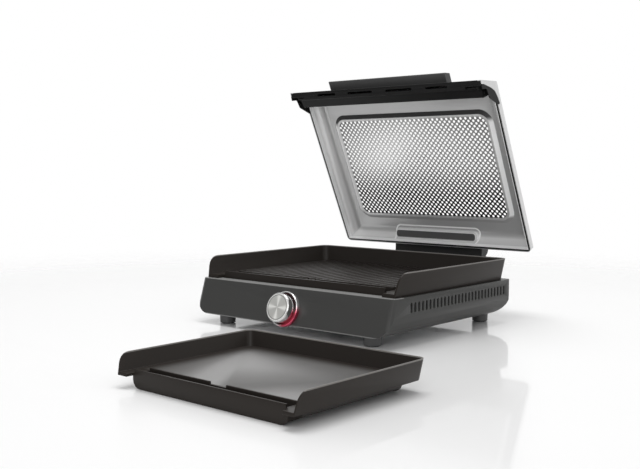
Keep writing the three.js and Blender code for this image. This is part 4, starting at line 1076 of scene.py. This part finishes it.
class GRILL_OT_dial(Operator):
    """Finish the knob, its rings and the switch gear behind the panel"""

    bl_idname = "grill.dial"
    bl_label = "Dial"

    def execute(self, context):
        place = dial_place()
        width = sizes().sheet_round
        dress("dial_base", width, black_plastic())
        dress("bezel_ring", width, bezel_chrome(place))
        dress("light_ring", width, ring_light(place))
        dress("knob_body", width, chrome())
        dress("knob_cap", width, spun_steel(place))
        dress("dial_shaft", width, bare_steel())
        dress("indicator_board", width, ceramic())
        dress("control_bracket", width, bare_steel())
        dress("thermostat", width, black_plastic())
        return {"FINISHED"}


class GRILL_OT_lid(Operator):
    """Finish the lid's shell, liner, rim, visor and handle"""

    bl_idname = "grill.lid"
    bl_label = "Lid"

    def execute(self, context):
        size = sizes()
        place = lid_place(size.lid_angle)
        dress("lid_shell", size.sheet_round, satin_steel())
        dress("lid_liner", size.edge_round, liner_steel(place))
        dress("window_frame", size.sheet_round, satin_steel())
        dress("rim_edging", size.sheet_round, black_rubber())
        dress("fixing_plate", size.sheet_round, pad_plastic(place))
        dress("lid_visor", size.edge_round, black_plastic())
        dress("lid_handle", size.edge_round, grip_plastic())
        return {"FINISHED"}


def screen_sheet(low, high, size):
    """A sheet of staggered holes, trimmed to a rectangle with rounded corners."""
    half_x = size.hole_pitch_x / 2
    half_y = size.hole_pitch_y / 2
    middle = (low + high) / 2
    columns = math.ceil((high.x - low.x) / 2 / half_x) + 1
    rows = math.ceil((high.y - low.y) / 2 / half_y) + 1
    bm = bmesh.new()
    for i in range(-columns, columns + 1):
        for j in range(-rows, rows + 1):
            if (i + j) % 2 == 0:
                at = Vector((middle.x + i * half_x, middle.y + j * half_y, low.z))
                screen_cell(bm, at, half_x, half_y, size, low, high)
    bmesh.ops.remove_doubles(bm, verts=bm.verts, dist=MERGE)
    trim_round(bm, low, high, size.screen_round)
    return bm


def in_land(point, low, high, size):
    """Whether a hole at the point keeps clear of the screen's edge and corners."""
    keep = size.screen_land
    x = max(low.x + keep - point.x, point.x - high.x + keep)
    y = max(low.y + keep - point.y, point.y - high.y + keep)
    if x > 0 or y > 0:
        return False
    radius = size.screen_round - keep
    deep_x = x + radius
    deep_y = y + radius
    return not (deep_x > 0 and deep_y > 0 and math.hypot(deep_x, deep_y) > radius)


def screen_cell(bm, at, half_x, half_y, size, low, high):
    """One diamond of the sheet, with its hole where there is room for one."""
    sides = size.hole_sides
    outer = []
    for k in range(sides):
        angle = 2 * math.pi * k / sides
        across = abs(math.cos(angle)) + abs(math.sin(angle))
        offset = Vector((half_x * math.cos(angle), half_y * math.sin(angle), 0)) / across
        outer.append(bm.verts.new(at + offset))
    if not in_land(at, low, high, size):
        bm.faces.new(outer)
        return
    inner = []
    for k in range(sides):
        angle = 2 * math.pi * k / sides
        offset = Vector((math.cos(angle), math.sin(angle), 0)) * size.hole_radius
        inner.append(bm.verts.new(at + offset))
    for k in range(sides):
        after = (k + 1) % sides
        bm.faces.new((outer[k], outer[after], inner[after], inner[k]))


CORNER_CUTS = 8


def trim_round(bm, low, high, radius):
    """Cuts away what lies outside a rectangle with rounded corners."""
    planes = [
        (low, Vector((-1, 0, 0))), (low, Vector((0, -1, 0))),
        (high, Vector((1, 0, 0))), (high, Vector((0, 1, 0))),
    ]
    for side_x, corner_x in ((-1, low.x), (1, high.x)):
        for side_y, corner_y in ((-1, low.y), (1, high.y)):
            centre = Vector((corner_x - side_x * radius, corner_y - side_y * radius, low.z))
            for k in range(CORNER_CUTS):
                angle = math.pi / 2 * (k + 0.5) / CORNER_CUTS
                out = Vector((side_x * math.cos(angle), side_y * math.sin(angle), 0))
                planes.append((centre + out * radius, out))
    for point, out in planes:
        everything = bm.verts[:] + bm.edges[:] + bm.faces[:]
        bmesh.ops.bisect_plane(bm, geom=everything, plane_co=point, plane_no=out, clear_outer=True)


class GRILL_OT_screen(Operator):
    """Make the finely perforated screen of the lid"""

    bl_idname = "grill.screen"
    bl_label = "Perforated screen"

    def execute(self, context):
        size = sizes()
        place = lid_place(size.lid_angle)
        low, high = box_in("mesh_screen", place)
        bm = screen_sheet(low, high, size)
        bmesh.ops.recalc_face_normals(bm, faces=bm.faces)
        flat = bm.faces[:]
        made = bmesh.ops.extrude_face_region(bm, geom=flat)
        lifted = [v for v in made["geom"] if isinstance(v, bmesh.types.BMVert)]
        bmesh.ops.translate(bm, verts=lifted, vec=(0, 0, high.z - low.z))
        bmesh.ops.recalc_face_normals(bm, faces=bm.faces)
        bmesh.ops.transform(bm, matrix=place, verts=bm.verts)
        screen = new_piece("perforated_screen", bm, screen_steel(place), "lid")
        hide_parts("mesh_screen")
        return {"FINISHED"}


class GRILL_OT_hinge(Operator):
    """Finish the hinge arm, its bracket, pin and washers"""

    bl_idname = "grill.hinge"
    bl_label = "Hinge"

    def execute(self, context):
        size = sizes()
        dress("hinge_arm", size.edge_round, hinge_plastic())
        dress("hinge_bracket", size.edge_round, hinge_plastic())
        for node in ("hinge_pin", "pin_clip", "friction_washer_left", "friction_washer_right"):
            dress(node, size.sheet_round, bare_steel())
        return {"FINISHED"}


class GRILL_PT_panel(Panel):
    """Lists the sizes, the colours and the pieces of the grill"""

    bl_idname = "GRILL_PT_panel"
    bl_label = "Indoor grill"
    bl_space_type = "VIEW_3D"
    bl_region_type = "UI"
    bl_category = "Grill"

    def draw(self, context):
        layout = self.layout
        scene = context.scene
        for group in (scene.grill_sizes, scene.grill_colours, scene.grill_studio):
            box = layout.box()
            for name in group.__annotations__:
                box.prop(group, name)
        for operator in OPERATORS:
            layout.operator(operator.bl_idname)


OPERATORS = (
    GRILL_OT_stage,
    GRILL_OT_housing,
    GRILL_OT_plates,
    GRILL_OT_heating,
    GRILL_OT_dial,
    GRILL_OT_lid,
    GRILL_OT_screen,
    GRILL_OT_hinge,
)
SETTINGS = (GrillSizes, GrillColours, StudioSettings)


def register():
    for cls in (*SETTINGS, *OPERATORS, GRILL_PT_panel):
        bpy.utils.register_class(cls)
    bpy.types.Scene.grill_sizes = PointerProperty(type=GrillSizes)
    bpy.types.Scene.grill_colours = PointerProperty(type=GrillColours)
    bpy.types.Scene.grill_studio = PointerProperty(type=StudioSettings)


def unregister():
    del bpy.types.Scene.grill_studio
    del bpy.types.Scene.grill_colours
    del bpy.types.Scene.grill_sizes
    for cls in reversed((*SETTINGS, *OPERATORS, GRILL_PT_panel)):
        bpy.utils.unregister_class(cls)


def main():
    register()
    bpy.ops.grill.stage()
    bpy.ops.grill.housing()
    bpy.ops.grill.plates()
    bpy.ops.grill.heating()
    bpy.ops.grill.dial()
    bpy.ops.grill.lid()
    bpy.ops.grill.screen()
    bpy.ops.grill.hinge()


if __name__ == "__main__":
    main()
